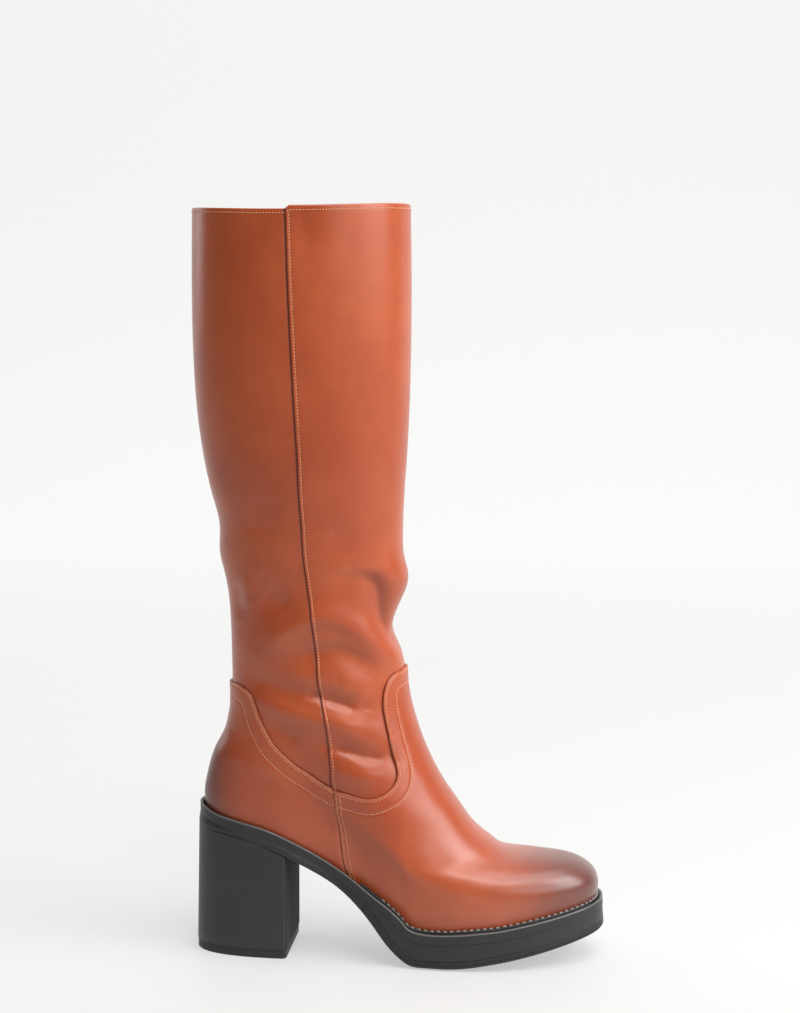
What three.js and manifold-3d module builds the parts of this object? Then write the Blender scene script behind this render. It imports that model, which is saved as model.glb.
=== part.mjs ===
// Knee-high boot for a right foot, on a block heel and a platform sole, in millimetres.
// +X points to the toe, +Y to the inner side of the foot, +Z up.
// The origin is the middle of the heel's face on the ground.
import * as THREE from "three";
import { mergeVertices } from "three/addons/utils/BufferGeometryUtils.js";
import Module from "manifold-3d";

// Driving dimensions
const LAST_LENGTH = 240; // heel seat to toe, level with the ground
const BALL_WIDTH = 74; // at the feather edge, where upper and sole meet
const INSTEP_HEIGHT = 114; // top of the instep over the line from heel seat to toe
const SHAFT_HEIGHT = 369; // heel seat to collar
const COLLAR_LENGTH = 131.5; // front to back
const COLLAR_WIDTH = 101;
const LEG_FORWARD = 36.5; // middle of the shaft in front of the origin
const TOE_SWING = 4; // toe tip off the axis, to the inner side
const FRONT_PANEL_RISE = 1.6; // front panel above the back panel at the collar

const UPPER_WALL = 2.2; // leather and lining
const SEAM_LAP = 0.9; // front panel over back panel at the side seams
const SEAM_RAMP = 1.2; // width of the lapped edge
const OVERLAY_WALL = 1.5; // vamp and counter leather
const GAP = 0.3; // between pieces that touch
const PARTING_ROUND = 0.6; // rounded edge of the sole over the heel

const HEEL_HEIGHT = 91.5; // ground to the rim behind the heel seat
const PLATFORM_HEIGHT = 21.7; // ground to the rim at the ball
const TOE_SPRING = 15.6; // rise of the rim and the tread from ball to toe
const RIM_DEPTH = 3.3; // the upper stands this far down inside the rim
const RIM_WIDTH = 2.2;
const WELT_WIDTH = 3.6;
const WELT_RISE = 1.2; // top of the welt over the rim
const WELT_BEVEL = 0.5; // outer edge of the welt
const BEAD_DROP = 6.2; // moulded line under the rim
const BEAD_DEPTH = 0.5;
const OUTSOLE_THICKNESS = 5.4;
const TREAD_EDGE_WIDTH = 4; // rounded lower edge of the tread
const TREAD_EDGE_RISE = 2;
const RIM_CLEARANCE = 1; // counter to rim
const WALL_FLARE = 0.8; // the foot of the sole's side stands out this far
const TREAD_START = 76; // back end of the tread layer

const HEEL_LENGTH = 60; // on the ground
const HEEL_TAPER = 1.6; // each side of the block draws in this much to the ground
const HEEL_CORNER = 2.5; // radius of the upright corners beside the breast
const TOP_PIECE_THICKNESS = 5.5;
const INSOLE_THICKNESS = 3;
const INSOLE_EASE = 0.5; // insole inside the upper

const AROUND = 48; // facets around the boot

// Shape tables, as shares of the sizes above

// Levels of the foot, from the feather edge up. back and front give both ends of a level: x as a share of
// LAST_LENGTH, rise as a share of INSTEP_HEIGHT over the line from heel seat to toe. width is a share of
// BALL_WIDTH, print how much of the footprint shows, seam where the side seam crosses, bend how far the
// level follows the sole's curve.
const FOOT_LEVELS = rows(
  ["backX", "backRise", "frontX", "frontRise", "width", "print", "seam", "bend"],
  [
    [-0.094, 0.0, 0.892, 0.0, 1.0, 1.0, 0.385, 1],
    [-0.096, 0.066, 0.905, 0.068, 1.04, 1.0, 0.39, 1],
    [-0.095, 0.123, 0.907, 0.13, 1.07, 0.98, 0.4, 1],
    [-0.09, 0.18, 0.892, 0.178, 1.08, 0.95, 0.41, 1],
    [-0.084, 0.237, 0.85, 0.205, 1.08, 0.91, 0.42, 1],
    [-0.077, 0.294, 0.777, 0.19, 1.07, 0.85, 0.43, 0.98],
    [-0.067, 0.352, 0.68, 0.163, 1.06, 0.76, 0.439, 0.95],
    [-0.056, 0.4, 0.633, 0.2, 1.04, 0.67, 0.449, 0.9],
    [-0.047, 0.44, 0.583, 0.263, 1.02, 0.57, 0.467, 0.8],
    [-0.04, 0.479, 0.541, 0.361, 1.0, 0.46, 0.494, 0.68],
    [-0.036, 0.514, 0.503, 0.461, 0.985, 0.35, 0.518, 0.54],
    [-0.032, 0.558, 0.47, 0.579, 0.97, 0.25, 0.54, 0.4],
    [-0.029, 0.597, 0.445, 0.7, 0.96, 0.16, 0.558, 0.27],
    [-0.028, 0.637, 0.427, 0.818, 0.955, 0.09, 0.562, 0.16],
    [-0.028, 0.685, 0.417, 0.922, 0.955, 0.04, 0.557, 0.08],
    [-0.029, 0.742, 0.415, 1.0, 0.96, 0.0, 0.549, 0],
  ],
);

// Levels of the shaft. back and front are shares of half the COLLAR_LENGTH from the shaft's middle, rise a
// share of SHAFT_HEIGHT over the heel seat, width a share of COLLAR_WIDTH.
const SHAFT_LEVELS = rows(
  ["rise", "back", "front", "width", "seam"],
  [
    [0.254, -0.662, 0.96, 0.71, 0.542],
    [0.282, -0.664, 0.96, 0.722, 0.536],
    [0.308, -0.668, 0.958, 0.733, 0.53],
    [0.332, -0.675, 0.957, 0.743, 0.524],
    [0.365, -0.69, 0.955, 0.758, 0.517],
    [0.4, -0.715, 0.948, 0.775, 0.511],
    [0.44, -0.748, 0.932, 0.8, 0.51],
    [0.49, -0.785, 0.935, 0.835, 0.512],
    [0.54, -0.851, 0.948, 0.875, 0.517],
    [0.6, -0.917, 0.972, 0.92, 0.523],
    [0.68, -0.974, 0.994, 0.96, 0.52],
    [0.78, -1.003, 1.008, 0.99, 0.511],
    [0.89, -1.008, 1.012, 1.0, 0.499],
    [1.0, -1.0, 1.003, 1.0, 0.491],
  ],
);

// Half widths of the footprint along a level, as shares of half its width.
const FOOTPRINT = rows(
  ["along", "outer", "inner"],
  [
    [0.0, 0.93, 0.93],
    [0.2, 0.81, 0.8],
    [0.36, 0.715, 0.62],
    [0.52, 0.915, 0.7],
    [0.66, 1.08, 0.9],
    [0.82, 1.155, 0.985],
    [1.0, 1.15, 0.97],
  ],
);

// The sole from the side. along is a share of LAST_LENGTH from the origin, rim the rim's height between
// platform (0) and heel (1), spring its share of TOE_SPRING, thick the sole's depth under the rim as a
// share of PLATFORM_HEIGHT. The ground cuts off what would reach below it.
const SOLE_LINE = rows(
  ["along", "rim", "spring", "thick"],
  [
    [-0.13, 1.04, 0, 0.7],
    [-0.1, 0.995, 0, 0.62],
    [-0.055, 0.94, 0, 0.48],
    [0.0, 0.9, 0, 0.46],
    [0.08, 0.83, 0, 0.5],
    [0.165, 0.697, 0, 0.515],
    [0.25, 0.53, 0, 0.51],
    [0.303, 0.41, 0, 0.62],
    [0.345, 0.305, 0, 0.8],
    [0.385, 0.212, 0, 1.13],
    [0.42, 0.11, 0, 1.17],
    [0.44, 0.035, 0, 1.11],
    [0.475, 0.003, 0, 1.03],
    [0.52, 0, 0, 1.03],
    [0.57, 0, 0.05, 1.05],
    [0.62, 0, 0.13, 0.975],
    [0.67, 0, 0.22, 0.965],
    [0.8, 0, 0.6, 0.92],
    [0.87, 0, 0.81, 0.885],
    [0.95, 0, 1.02, 0.87],
  ],
);

// Soft folds of the shaft. rise is a share of SHAFT_HEIGHT over the heel seat, turn the angle from the
// front (0) to the back (180), wide the reach of the fold in degrees. tall, its reach up and down, depth, how
// far it pushes out, and climb, its rise towards the side, are shares of COLLAR_WIDTH.
const FOLDS = rows(
  ["rise", "turn", "tall", "wide", "depth", "climb"],
  [
    [0.308, 0, 0.183, 42, -0.08, 0.218],
    [0.392, 0, 0.109, 40, 0.026, 0.158],
    [0.262, 0, 0.119, 46, 0.012, 0.099],
    [0.435, 180, 0.119, 38, 0.017, -0.079],
    [0.49, 180, 0.158, 40, -0.008, -0.079],
  ],
);

// Edges seen from the side: of the vamp from the side seam to the top of its tongue, of the seam between
// vamp and counter from the sole up, and of the counter from the seam back. x is a share of LAST_LENGTH,
// z a share of SHAFT_HEIGHT over the heel seat.
const VAMP_EDGE = [
  [0.249, 0.0535],
  [0.275, 0.05],
  [0.302, 0.0455],
  [0.33, 0.042],
  [0.356, 0.0435],
  [0.38, 0.051],
  [0.396, 0.061],
  [0.4035, 0.073],
  [0.403, 0.086],
  [0.3965, 0.103],
  [0.387, 0.124],
  [0.378, 0.147],
  [0.3695, 0.172],
  [0.3655, 0.192],
  [0.3665, 0.209],
  [0.373, 0.2245],
  [0.385, 0.2365],
  [0.402, 0.2425],
  [0.43, 0.248],
  [0.47, 0.254],
];
const FOOT_SEAM = [
  [0.289, -0.13],
  [0.284, -0.094],
  [0.273, -0.074],
  [0.2665, -0.045],
  [0.2605, -0.005],
  [0.2535, 0.024],
];
const COUNTER_EDGE = [
  [0.245, 0.0555],
  [0.219, 0.064],
  [0.186, 0.0775],
  [0.152, 0.091],
  [0.127, 0.1045],
  [0.1015, 0.1205],
  [0.081, 0.14],
  [0.0635, 0.162],
  [0.0515, 0.184],
  [0.0395, 0.2015],
  [0.0235, 0.2125],
  [0.0, 0.2185],
  [-0.03, 0.218],
  [-0.08, 0.212],
];

function rows(names, values) {
  return values.map((line) => Object.fromEntries(names.map((name, i) => [name, line[i]])));
}

// A smooth curve through points: a cubic between each pair, with slopes from the neighbours.
function curve(xs, ys) {
  const slopes = xs.map((_, i) => {
    const a = Math.max(i - 1, 0);
    const b = Math.min(i + 1, xs.length - 1);
    return (ys[b] - ys[a]) / (xs[b] - xs[a]);
  });
  return (x) => {
    let i = 0;
    while (i < xs.length - 2 && x > xs[i + 1]) i++;
    const w = xs[i + 1] - xs[i];
    const t = THREE.MathUtils.clamp((x - xs[i]) / w, 0, 1);
    const rise = ys[i] * (1 + 2 * t) * (1 - t) ** 2 + ys[i + 1] * t * t * (3 - 2 * t);
    return rise + w * t * (1 - t) * (slopes[i] * (1 - t) - slopes[i + 1] * t);
  };
}
const columnOf = (table, along, name, scale = 1) =>
  curve(table.map((r) => r[along]), table.map((r) => r[name] * scale));
const mix = THREE.MathUtils.lerp;

// The sole's lines along the foot
const soleAt = (name) => {
  const line = columnOf(SOLE_LINE, "along", name);
  return (x) => line(x / LAST_LENGTH);
};
const rimShare = soleAt("rim");
const springShare = soleAt("spring");
const thickShare = soleAt("thick");
const rimZ = (x) =>
  PLATFORM_HEIGHT + (HEEL_HEIGHT - PLATFORM_HEIGHT) * rimShare(x) + TOE_SPRING * springShare(x);
const featherZ = (x) => rimZ(x) - RIM_DEPTH;
const underZ = (x) => Math.max(rimZ(x) - PLATFORM_HEIGHT * thickShare(x), 0);

// All levels in millimetres, in one list from the feather edge to the collar
const seatX = FOOT_LEVELS[0].backX * LAST_LENGTH;
const toeX = FOOT_LEVELS[0].frontX * LAST_LENGTH;
const seatZ = featherZ(seatX);
const toeZ = featherZ(toeX);
const chordZ = (x) => mix(seatZ, toeZ, (x - seatX) / (toeX - seatX));
const footLevel = (r) => {
  const backX = r.backX * LAST_LENGTH;
  const frontX = r.frontX * LAST_LENGTH;
  const backZ = chordZ(backX) + r.backRise * INSTEP_HEIGHT;
  const frontZ = chordZ(frontX) + r.frontRise * INSTEP_HEIGHT;
  const half = (r.width * BALL_WIDTH) / 2;
  return { backX, backZ, frontX, frontZ, half, print: r.print, seam: r.seam, bend: r.bend };
};
const shaftLevel = (r) => {
  const z = seatZ + r.rise * SHAFT_HEIGHT;
  const backX = LEG_FORWARD + (r.back * COLLAR_LENGTH) / 2;
  const frontX = LEG_FORWARD + (r.front * COLLAR_LENGTH) / 2;
  const half = (r.width * COLLAR_WIDTH) / 2;
  return { backX, backZ: z, frontX, frontZ: z, half, print: 0, seam: r.seam, bend: 0 };
};
const LEVELS = [...FOOT_LEVELS.map(footLevel), ...SHAFT_LEVELS.map(shaftLevel)];
const TOP = LEVELS.length - 1;
const levelCurve = Object.fromEntries(
  Object.keys(LEVELS[0]).map((name) => [name, curve([...LEVELS.keys()], LEVELS.map((r) => r[name]))]),
);
const outerPrint = columnOf(FOOTPRINT, "along", "outer");
const innerPrint = columnOf(FOOTPRINT, "along", "inner");

const SHAFT_ROUND = 2.15; // exponents of a level's rounded ends, 2 for an ellipse
const HEEL_ROUND = 2.45;
const TOE_ROUND = 2.6;

// A point of the boot's surface. angle runs from the back (0) past the outer side (90) and the toe (180)
// to the inner side (270); level from 0 at the feather edge to TOP at the collar.
function formPoint(angle, level) {
  const at = (name) => levelCurve[name](level);
  const a = THREE.MathUtils.degToRad(angle);
  const even = (1 - Math.cos(a)) / 2;
  const along = even + 4 * (at("seam") - 0.5) * even * (1 - even);
  const off = Math.abs(2 * along - 1);
  const round = mix(SHAFT_ROUND, along < 0.5 ? HEEL_ROUND : TOE_ROUND, at("print"));
  const end = Math.max(1 - off ** round, 0) ** (1 / round);
  const outer = angle <= 180;
  const print = mix(1, (outer ? outerPrint : innerPrint)(along), at("print"));
  const swing = TOE_SWING * at("print") * along * along;
  const x = mix(at("backX"), at("frontX"), along);
  const soleEnds = mix(featherZ(at("backX")), featherZ(at("frontX")), along);
  const z = mix(at("backZ"), at("frontZ"), along) + at("bend") * (featherZ(x) - soleEnds);
  const y = swing + (outer ? -1 : 1) * at("half") * print * end;
  return new THREE.Vector3(x, y, z);
}

// The direction out of the surface, level at the feather edge
function formNormal(angle, level) {
  const turn = 0.6;
  const step = 0.04;
  const low = Math.max(level - step, 0);
  const high = Math.min(level + step, TOP);
  const around = formPoint((angle + turn) % 360, level).sub(formPoint((angle - turn + 360) % 360, level));
  const up = formPoint(angle, high).sub(formPoint(angle, low));
  const normal = around.cross(up);
  if (level === 0) normal.z = 0;
  return normal.normalize();
}

// How far the folds push a point of the shaft out
function foldPush(angle, z) {
  const fromFront = Math.abs(angle - 180);
  return FOLDS.reduce((sum, f) => {
    const aside = Math.abs(fromFront - f.turn);
    const height = seatZ + f.rise * SHAFT_HEIGHT + f.climb * COLLAR_WIDTH * (aside / 90) ** 1.5;
    const above = (z - height) / (f.tall * COLLAR_WIDTH);
    return sum + f.depth * COLLAR_WIDTH * Math.exp(-(above ** 2) - (aside / f.wide) ** 2);
  }, 0);
}

// A point at a distance outside the form, folds included
function surface(angle, level, out = 0) {
  const p = formPoint(angle, level);
  return p.addScaledVector(formNormal(angle, level), out + foldPush(angle, p.z));
}

// Angles of the grid's columns: each quarter evenly, with the lapped edge of both side seams
const RAMP_ANGLE = THREE.MathUtils.radToDeg(SEAM_RAMP / (COLLAR_LENGTH / 2));
function columns(count) {
  const quarter = count / 4;
  const span = (from, to) => Array.from({ length: quarter }, (_, i) => mix(from, to, i / quarter));
  const half = [...span(0, 90 - RAMP_ANGLE), 90 - RAMP_ANGLE, ...span(90, 180)];
  const other = half.slice(1).map((a) => 360 - a);
  return [...half, 180, ...other.reverse()];
}
const ROUNDING = 1e-6;
const inFront = (angle) => angle > 90 - ROUNDING && angle < 270 + ROUNDING;

// A solid from rings of points. Its sides join neighbouring rings, and their diagonals run forward and up
// on both sides of the boot. Its ends are closed by rungs between the two sides of a ring or by a fan, or
// joined to each other as a tube's.
function skin(rings, ends = "rungs") {
  const n = rings[0].length;
  const points = rings.flat();
  const faces = [];
  const quad = (a, b, c, d) => faces.push([a, b, c], [a, c, d]);
  for (let r = 0; r + 1 < rings.length; r++)
    for (let i = 0; i < n; i++) {
      const j = (i + 1) % n;
      const corners = [r * n + i, r * n + j, (r + 1) * n + j, (r + 1) * n + i];
      const returns = ends === "tube" && r >= rings.length / 2;
      if (i < n / 2 !== returns) quad(...corners);
      else quad(...corners.slice(1), corners[0]);
    }
  const last = (rings.length - 1) * n;
  const cap = (base, flip) => {
    const put = (...corners) => faces.push((flip ? corners.reverse() : corners).map((k) => base + k));
    if (ends === "fan") for (let i = 1; i + 1 < n; i++) put(0, i + 1, i);
    else
      for (let i = 0; i < Math.floor(n / 2); i++) {
        const [a, b, c, d] = [i, i + 1, n - 1 - i, (n - i) % n];
        if (b !== c) put(b, a, c);
        if (a !== d) put(a, d, c);
      }
  };
  if (ends === "tube") {
    for (let i = 0; i < n; i++) {
      const j = (i + 1) % n;
      quad(last + i, last + j, j, i);
    }
  } else {
    cap(0, false);
    cap(last, true);
  }
  return solid(points, faces);
}

const wasm = await Module();
wasm.setup();
const SAME_POINT = 1e-4; // points nearer than this become one

// A closed mesh as a manifold-3d solid with its faces turned outwards
function solid(points, faces) {
  const g = new THREE.BufferGeometry();
  g.setAttribute("position", new THREE.Float32BufferAttribute(points.flatMap((p) => [p.x, p.y, p.z]), 3));
  g.setIndex(faces.flat());
  const m = mergeVertices(g, SAME_POINT);
  const build = (triVerts) =>
    new wasm.Manifold(
      new wasm.Mesh({ numProp: 3, vertProperties: m.attributes.position.array, triVerts }),
    );
  const index = Uint32Array.from(m.index.array);
  const made = build(index);
  if (made.volume() > 0) return made;
  for (let i = 0; i < index.length; i += 3) [index[i + 1], index[i + 2]] = [index[i + 2], index[i + 1]];
  return build(index);
}

function geometryOf(made) {
  const m = made.getMesh();
  const g = new THREE.BufferGeometry();
  const v = new Float32Array(m.numVert * 3);
  for (let i = 0; i < m.numVert; i++) {
    const from = i * m.numProp;
    v.set(m.vertProperties.subarray(from, from + 3), i * 3);
  }
  g.setAttribute("position", new THREE.BufferAttribute(v, 3));
  g.setIndex(new THREE.BufferAttribute(m.triVerts, 1));
  return g;
}

const boot = new THREE.Group();
function piece(name, made, colour, roughness) {
  const material = new THREE.MeshStandardMaterial({ color: colour, roughness, metalness: 0 });
  const mesh = new THREE.Mesh(geometryOf(made), material);
  mesh.name = name;
  boot.add(mesh);
}
const TAN = 0xa4532f;
const BLACK = 0x2b2a2a;
const LINING = 0xc9a27e;

// The front panel laps the back panel from the ankle up
const LAP_FROM = 7;
const lap = (level) => SEAM_LAP * THREE.MathUtils.smoothstep(level, LAP_FROM, LAP_FROM + 2);

// Upper: one hollow wall from the feather edge to the collar, open at both ends. Its front panel stands
// proud of the back panel along the side seams.
const levelsTo = (top) => Array.from({ length: top + 1 }, (_, i) => i);
function upper() {
  const angles = columns(AROUND);
  const levels = levelsTo(TOP);
  const raise = (p, a, level) => {
    if (level === TOP && inFront(a)) p.z += FRONT_PANEL_RISE;
    return p;
  };
  const face = (out) => levels.map((l) => angles.map((a) => raise(surface(a, l, out(a, l)), a, l)));
  const outside = face((a, l) => (inFront(a) ? lap(l) : 0));
  const inside = face(() => -UPPER_WALL);
  return skin([...outside, ...inside.reverse()], "tube");
}

// Vamp and counter: cut between two larger forms of the upper by their outline from the side
const OVERLAY_TOP = FOOT_LEVELS.length + 2;
const CLEAR = 8; // how far a cutting form runs past the piece
function form(out, over) {
  const rings = levelsTo(OVERLAY_TOP).map((l) => columns(AROUND).map((a) => surface(a, l, out(l))));
  const moved = (ring, dz) => ring.map((p) => p.clone().setZ(p.z + dz));
  if (over) {
    rings.unshift(moved(rings[0], -CLEAR));
    rings.push(moved(rings[rings.length - 1], CLEAR));
  } else rings.unshift(columns(AROUND).map((a) => footPoint(a, 0)));
  return skin(rings);
}
const shell = (lift) => form((l) => lift(l) + OVERLAY_WALL, false).subtract(form(lift, true));

const edgeLine = (edge, shift = 0) =>
  edge.map(([x, z]) => [x * LAST_LENGTH + shift, seatZ + z * SHAFT_HEIGHT]);

// A plate as wide as the boot, cut to an outline seen from the side
function sidePlate(outline) {
  const half = COLLAR_WIDTH;
  const shape = new THREE.Shape(outline.map(([x, z]) => new THREE.Vector2(x, z)));
  const g = new THREE.ExtrudeGeometry(shape, { depth: 2 * half, bevelEnabled: false, curveSegments: 1 });
  g.rotateX(Math.PI / 2).translate(0, half, 0);
  g.deleteAttribute("normal");
  g.deleteAttribute("uv");
  const m = mergeVertices(g.index ? g.toNonIndexed() : g, SAME_POINT);
  const p = m.attributes.position;
  const points = Array.from({ length: p.count }, (_, i) => new THREE.Vector3().fromBufferAttribute(p, i));
  const index = Array.from(m.index.array);
  const faces = Array.from({ length: index.length / 3 }, (_, i) => index.slice(3 * i, 3 * i + 3));
  return solid(points, faces);
}

function vamp() {
  const floor = -CLEAR;
  const seam = edgeLine(FOOT_SEAM, GAP / 2);
  const outline = [
    [seam[0][0], floor],
    ...seam,
    ...edgeLine(VAMP_EDGE),
    [LAST_LENGTH, seatZ + VAMP_EDGE[VAMP_EDGE.length - 1][1] * SHAFT_HEIGHT],
    [LAST_LENGTH, floor],
  ];
  return shell((l) => lap(l) + GAP).intersect(sidePlate(outline));
}
function counter() {
  const floor = -CLEAR;
  const seam = edgeLine(FOOT_SEAM, -GAP / 2);
  const back = -LAST_LENGTH / 2;
  const outline = [
    [seam[0][0], floor],
    ...seam,
    ...edgeLine(COUNTER_EDGE),
    [back, seatZ + COUNTER_EDGE[COUNTER_EDGE.length - 1][1] * SHAFT_HEIGHT],
    [back, floor],
  ];
  return shell(() => GAP).intersect(sidePlate(outline));
}

// Outline of the sole: the feather edge, moved out in plan by a margin that is wide along the welt and
// narrow around the heel
const OVERLAY_FACE = GAP + OVERLAY_WALL;
const WIDE_MARGIN = OVERLAY_FACE + GAP + WELT_WIDTH + GAP + RIM_WIDTH;
const NARROW_MARGIN = OVERLAY_FACE + RIM_CLEARANCE + RIM_WIDTH;
const WIDENS_FROM = 0.25; // shares along the foot where the margin widens
const WIDENS_TO = 0.5;
const WELT_FROM = 0.42; // share along the foot where the welt starts
const SIDES = columns(AROUND);
const shareAlong = (x) => (x - seatX) / (toeX - seatX);
const margin = (angle) => {
  const share = shareAlong(formPoint(angle, 0).x);
  return mix(NARROW_MARGIN, WIDE_MARGIN, THREE.MathUtils.smoothstep(share, WIDENS_FROM, WIDENS_TO));
};

// A point moved out from the feather edge on the level, and up by a rise
function footPoint(angle, out, rise = 0) {
  const p = formPoint(angle, 0).addScaledVector(formNormal(angle, 0), out);
  return p.setZ(p.z + rise);
}

// A point inside the sole's edge by an inset, at a height given along the foot
function solePoint(angle, inset, height) {
  const p = footPoint(angle, margin(angle) - inset);
  return p.setZ(height(p.x));
}
const soleRing = (inset, height) => SIDES.map((a) => solePoint(a, inset, height));

// Section of the sole's side. Its rounded lower edge is in shares of the edge's width and rise, in from the
// side and up from the underside. What is above goes in from the side and down from the rim, in millimetres.
const EDGE_SECTION = [
  [1, 0],
  [0.3, 0.35],
  [0, 1],
];
const RIM_SECTION = [
  [-0.2 * BEAD_DEPTH, BEAD_DROP + BEAD_DEPTH],
  [-BEAD_DEPTH, BEAD_DROP],
  [-0.4 * BEAD_DEPTH, 0.6 * RIM_WIDTH],
  [0.15 * RIM_WIDTH, 0.12 * RIM_WIDTH],
  [0.5 * RIM_WIDTH, 0],
  [RIM_WIDTH, 0.1 * RIM_WIDTH],
];

// The whole sole with its tray, before the tread is parted from it
function soleBody() {
  const tread = (x) => THREE.MathUtils.smoothstep(x, TREAD_START, TREAD_START + PLATFORM_HEIGHT);
  const edge = (share, rise) =>
    SIDES.map((a) => {
      const x = formPoint(a, 0).x;
      const inset = mix(PARTING_ROUND, TREAD_EDGE_WIDTH, tread(x)) * share - WALL_FLARE;
      return solePoint(a, inset, (px) => underZ(px) + mix(PARTING_ROUND, TREAD_EDGE_RISE, tread(px)) * rise);
    });
  return skin([
    ...EDGE_SECTION.map(([share, rise]) => edge(share, rise)),
    ...RIM_SECTION.map(([inset, down]) => soleRing(inset, (x) => rimZ(x) - down)),
    SIDES.map((a) => footPoint(a, margin(a) - RIM_WIDTH, -GAP)),
    SIDES.map((a) => footPoint(a, 0, -GAP)),
  ]);
}

// Side view of the tread layer: a line at a depth inside the sole's underside, closed below the ground
const TREAD_STEPS = 15;
function treadPlate(depth, start) {
  const inner = (x) => {
    const slope = (underZ(x + 1) - underZ(x - 1)) / 2;
    const long = Math.hypot(1, slope);
    return [x - (slope / long) * depth, underZ(x) + depth / long];
  };
  const line = Array.from({ length: TREAD_STEPS + 1 }, (_, i) =>
    inner(mix(start, LAST_LENGTH, i / TREAD_STEPS)),
  );
  return sidePlate([[start - depth, underZ(start) - depth], ...line, [LAST_LENGTH, -CLEAR], [start, -CLEAR]]);
}

// Welt: a strip around the forefoot between the rim and the vamp
function welt() {
  const angles = SIDES.filter((a) => shareAlong(formPoint(a, 0).x) > WELT_FROM);
  const top = (x) => rimZ(x) + WELT_RISE;
  const sections = angles.map((a) => {
    const low = surface(a, 0, OVERLAY_FACE + GAP);
    const high = surface(a, 1, OVERLAY_FACE + GAP);
    const inner = low.clone().lerp(high, (top(low.x) - low.z) / (high.z - low.z));
    return [
      footPoint(a, margin(a) - RIM_WIDTH - GAP),
      solePoint(a, RIM_WIDTH + GAP, (x) => top(x) - WELT_BEVEL),
      solePoint(a, RIM_WIDTH + GAP + WELT_BEVEL, top),
      inner.setZ(top(inner.x)),
      footPoint(a, OVERLAY_FACE + GAP),
    ];
  });
  return skin(sections, "fan");
}

function insole() {
  const ring = (rise) => SIDES.map((a) => footPoint(a, -UPPER_WALL - INSOLE_EASE, rise));
  return skin([ring(0), ring(INSOLE_THICKNESS)]);
}

// Heel block and top piece: the outline of the sole's heel end, closed by a straight breast and drawn in
// towards the ground
const BREAST_X = HEEL_LENGTH / 2;
const HEEL_FACETS = 12; // on each side, from the back to the breast
const HEEL_TURN_STEP = 0.05;
const heelEdge = (angle) => solePoint(angle, -WALL_FLARE, underZ);
function heelOutline() {
  let turn = 0;
  while (heelEdge(turn).x < BREAST_X - HEEL_CORNER) turn += HEEL_TURN_STEP;
  const side = (outer) => {
    const arc = Array.from({ length: HEEL_FACETS + 1 }, (_, i) => {
      const a = (turn * i) / HEEL_FACETS;
      return heelEdge(outer ? a : 360 - a);
    });
    const end = arc[HEEL_FACETS].y;
    const corner = [30, 60, 90].map((angle) => {
      const t = THREE.MathUtils.degToRad(angle);
      const y = Math.abs(end) - HEEL_CORNER * (1 - Math.cos(t));
      return new THREE.Vector3(BREAST_X - HEEL_CORNER * (1 - Math.sin(t)), Math.sign(end) * y, 0);
    });
    return [...arc, ...corner];
  };
  return [...side(true), ...side(false).slice(1).reverse()];
}
function heelRing(height) {
  const outline = heelOutline();
  const backX = outline[0].x;
  const halfWidth = Math.max(...outline.map((p) => p.y));
  return outline.map((p) => {
    const z = height(p.x);
    const down = 1 - z / underZ(p.x);
    const reach = mix(1, HEEL_LENGTH / (BREAST_X - backX), down);
    const draw = mix(1, 1 - HEEL_TAPER / halfWidth, down);
    return new THREE.Vector3(BREAST_X - (BREAST_X - p.x) * reach, p.y * draw, z);
  });
}
const heel = () => skin([heelRing(() => TOP_PIECE_THICKNESS), heelRing((x) => underZ(x) - GAP)]);
const topPiece = () => skin([heelRing(() => 0), heelRing(() => TOP_PIECE_THICKNESS)]);

const body = soleBody();
piece("upper", upper(), TAN, 0.45);
piece("vamp", vamp(), TAN, 0.4);
piece("counter", counter(), TAN, 0.4);
piece("insole", insole(), LINING, 0.8);
piece("welt", welt(), BLACK, 0.5);
piece("midsole", body.subtract(treadPlate(OUTSOLE_THICKNESS + GAP, TREAD_START - GAP)), BLACK, 0.55);
piece("outsole", body.intersect(treadPlate(OUTSOLE_THICKNESS, TREAD_START)), BLACK, 0.7);
piece("heel", heel(), BLACK, 0.55);
piece("top_piece", topPiece(), BLACK, 0.7);
export default boot;
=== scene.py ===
import math

import bpy
import numpy as np
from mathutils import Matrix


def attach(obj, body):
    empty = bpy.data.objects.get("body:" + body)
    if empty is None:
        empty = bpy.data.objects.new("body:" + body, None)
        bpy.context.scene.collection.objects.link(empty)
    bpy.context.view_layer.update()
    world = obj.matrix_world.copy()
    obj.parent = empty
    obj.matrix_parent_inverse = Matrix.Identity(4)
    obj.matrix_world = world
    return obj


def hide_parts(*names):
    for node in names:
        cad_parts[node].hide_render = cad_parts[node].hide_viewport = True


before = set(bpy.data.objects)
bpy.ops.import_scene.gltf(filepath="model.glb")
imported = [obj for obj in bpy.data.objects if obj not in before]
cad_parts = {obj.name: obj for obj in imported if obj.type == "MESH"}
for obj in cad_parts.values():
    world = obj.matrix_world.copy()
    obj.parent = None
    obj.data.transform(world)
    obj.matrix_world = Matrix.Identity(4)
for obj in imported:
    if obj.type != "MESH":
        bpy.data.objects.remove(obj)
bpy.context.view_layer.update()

# Camera: on the outer side of the boot, a good metre away and as high as the shaft's middle. It looks down
# a little and is turned five degrees towards the heel.
camera_data = bpy.data.cameras.new("camera")
camera_data.lens = 73.28
camera_data.sensor_width = 36
camera = bpy.data.objects.new("camera", camera_data)
camera.location = (0.2064, -1.2507, 0.3914)
camera.rotation_euler = (math.radians(84.75), 0, math.radians(5))
bpy.context.scene.collection.objects.link(camera)
bpy.context.scene.camera = camera
bpy.context.scene.view_settings.view_transform = "Standard"


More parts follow.
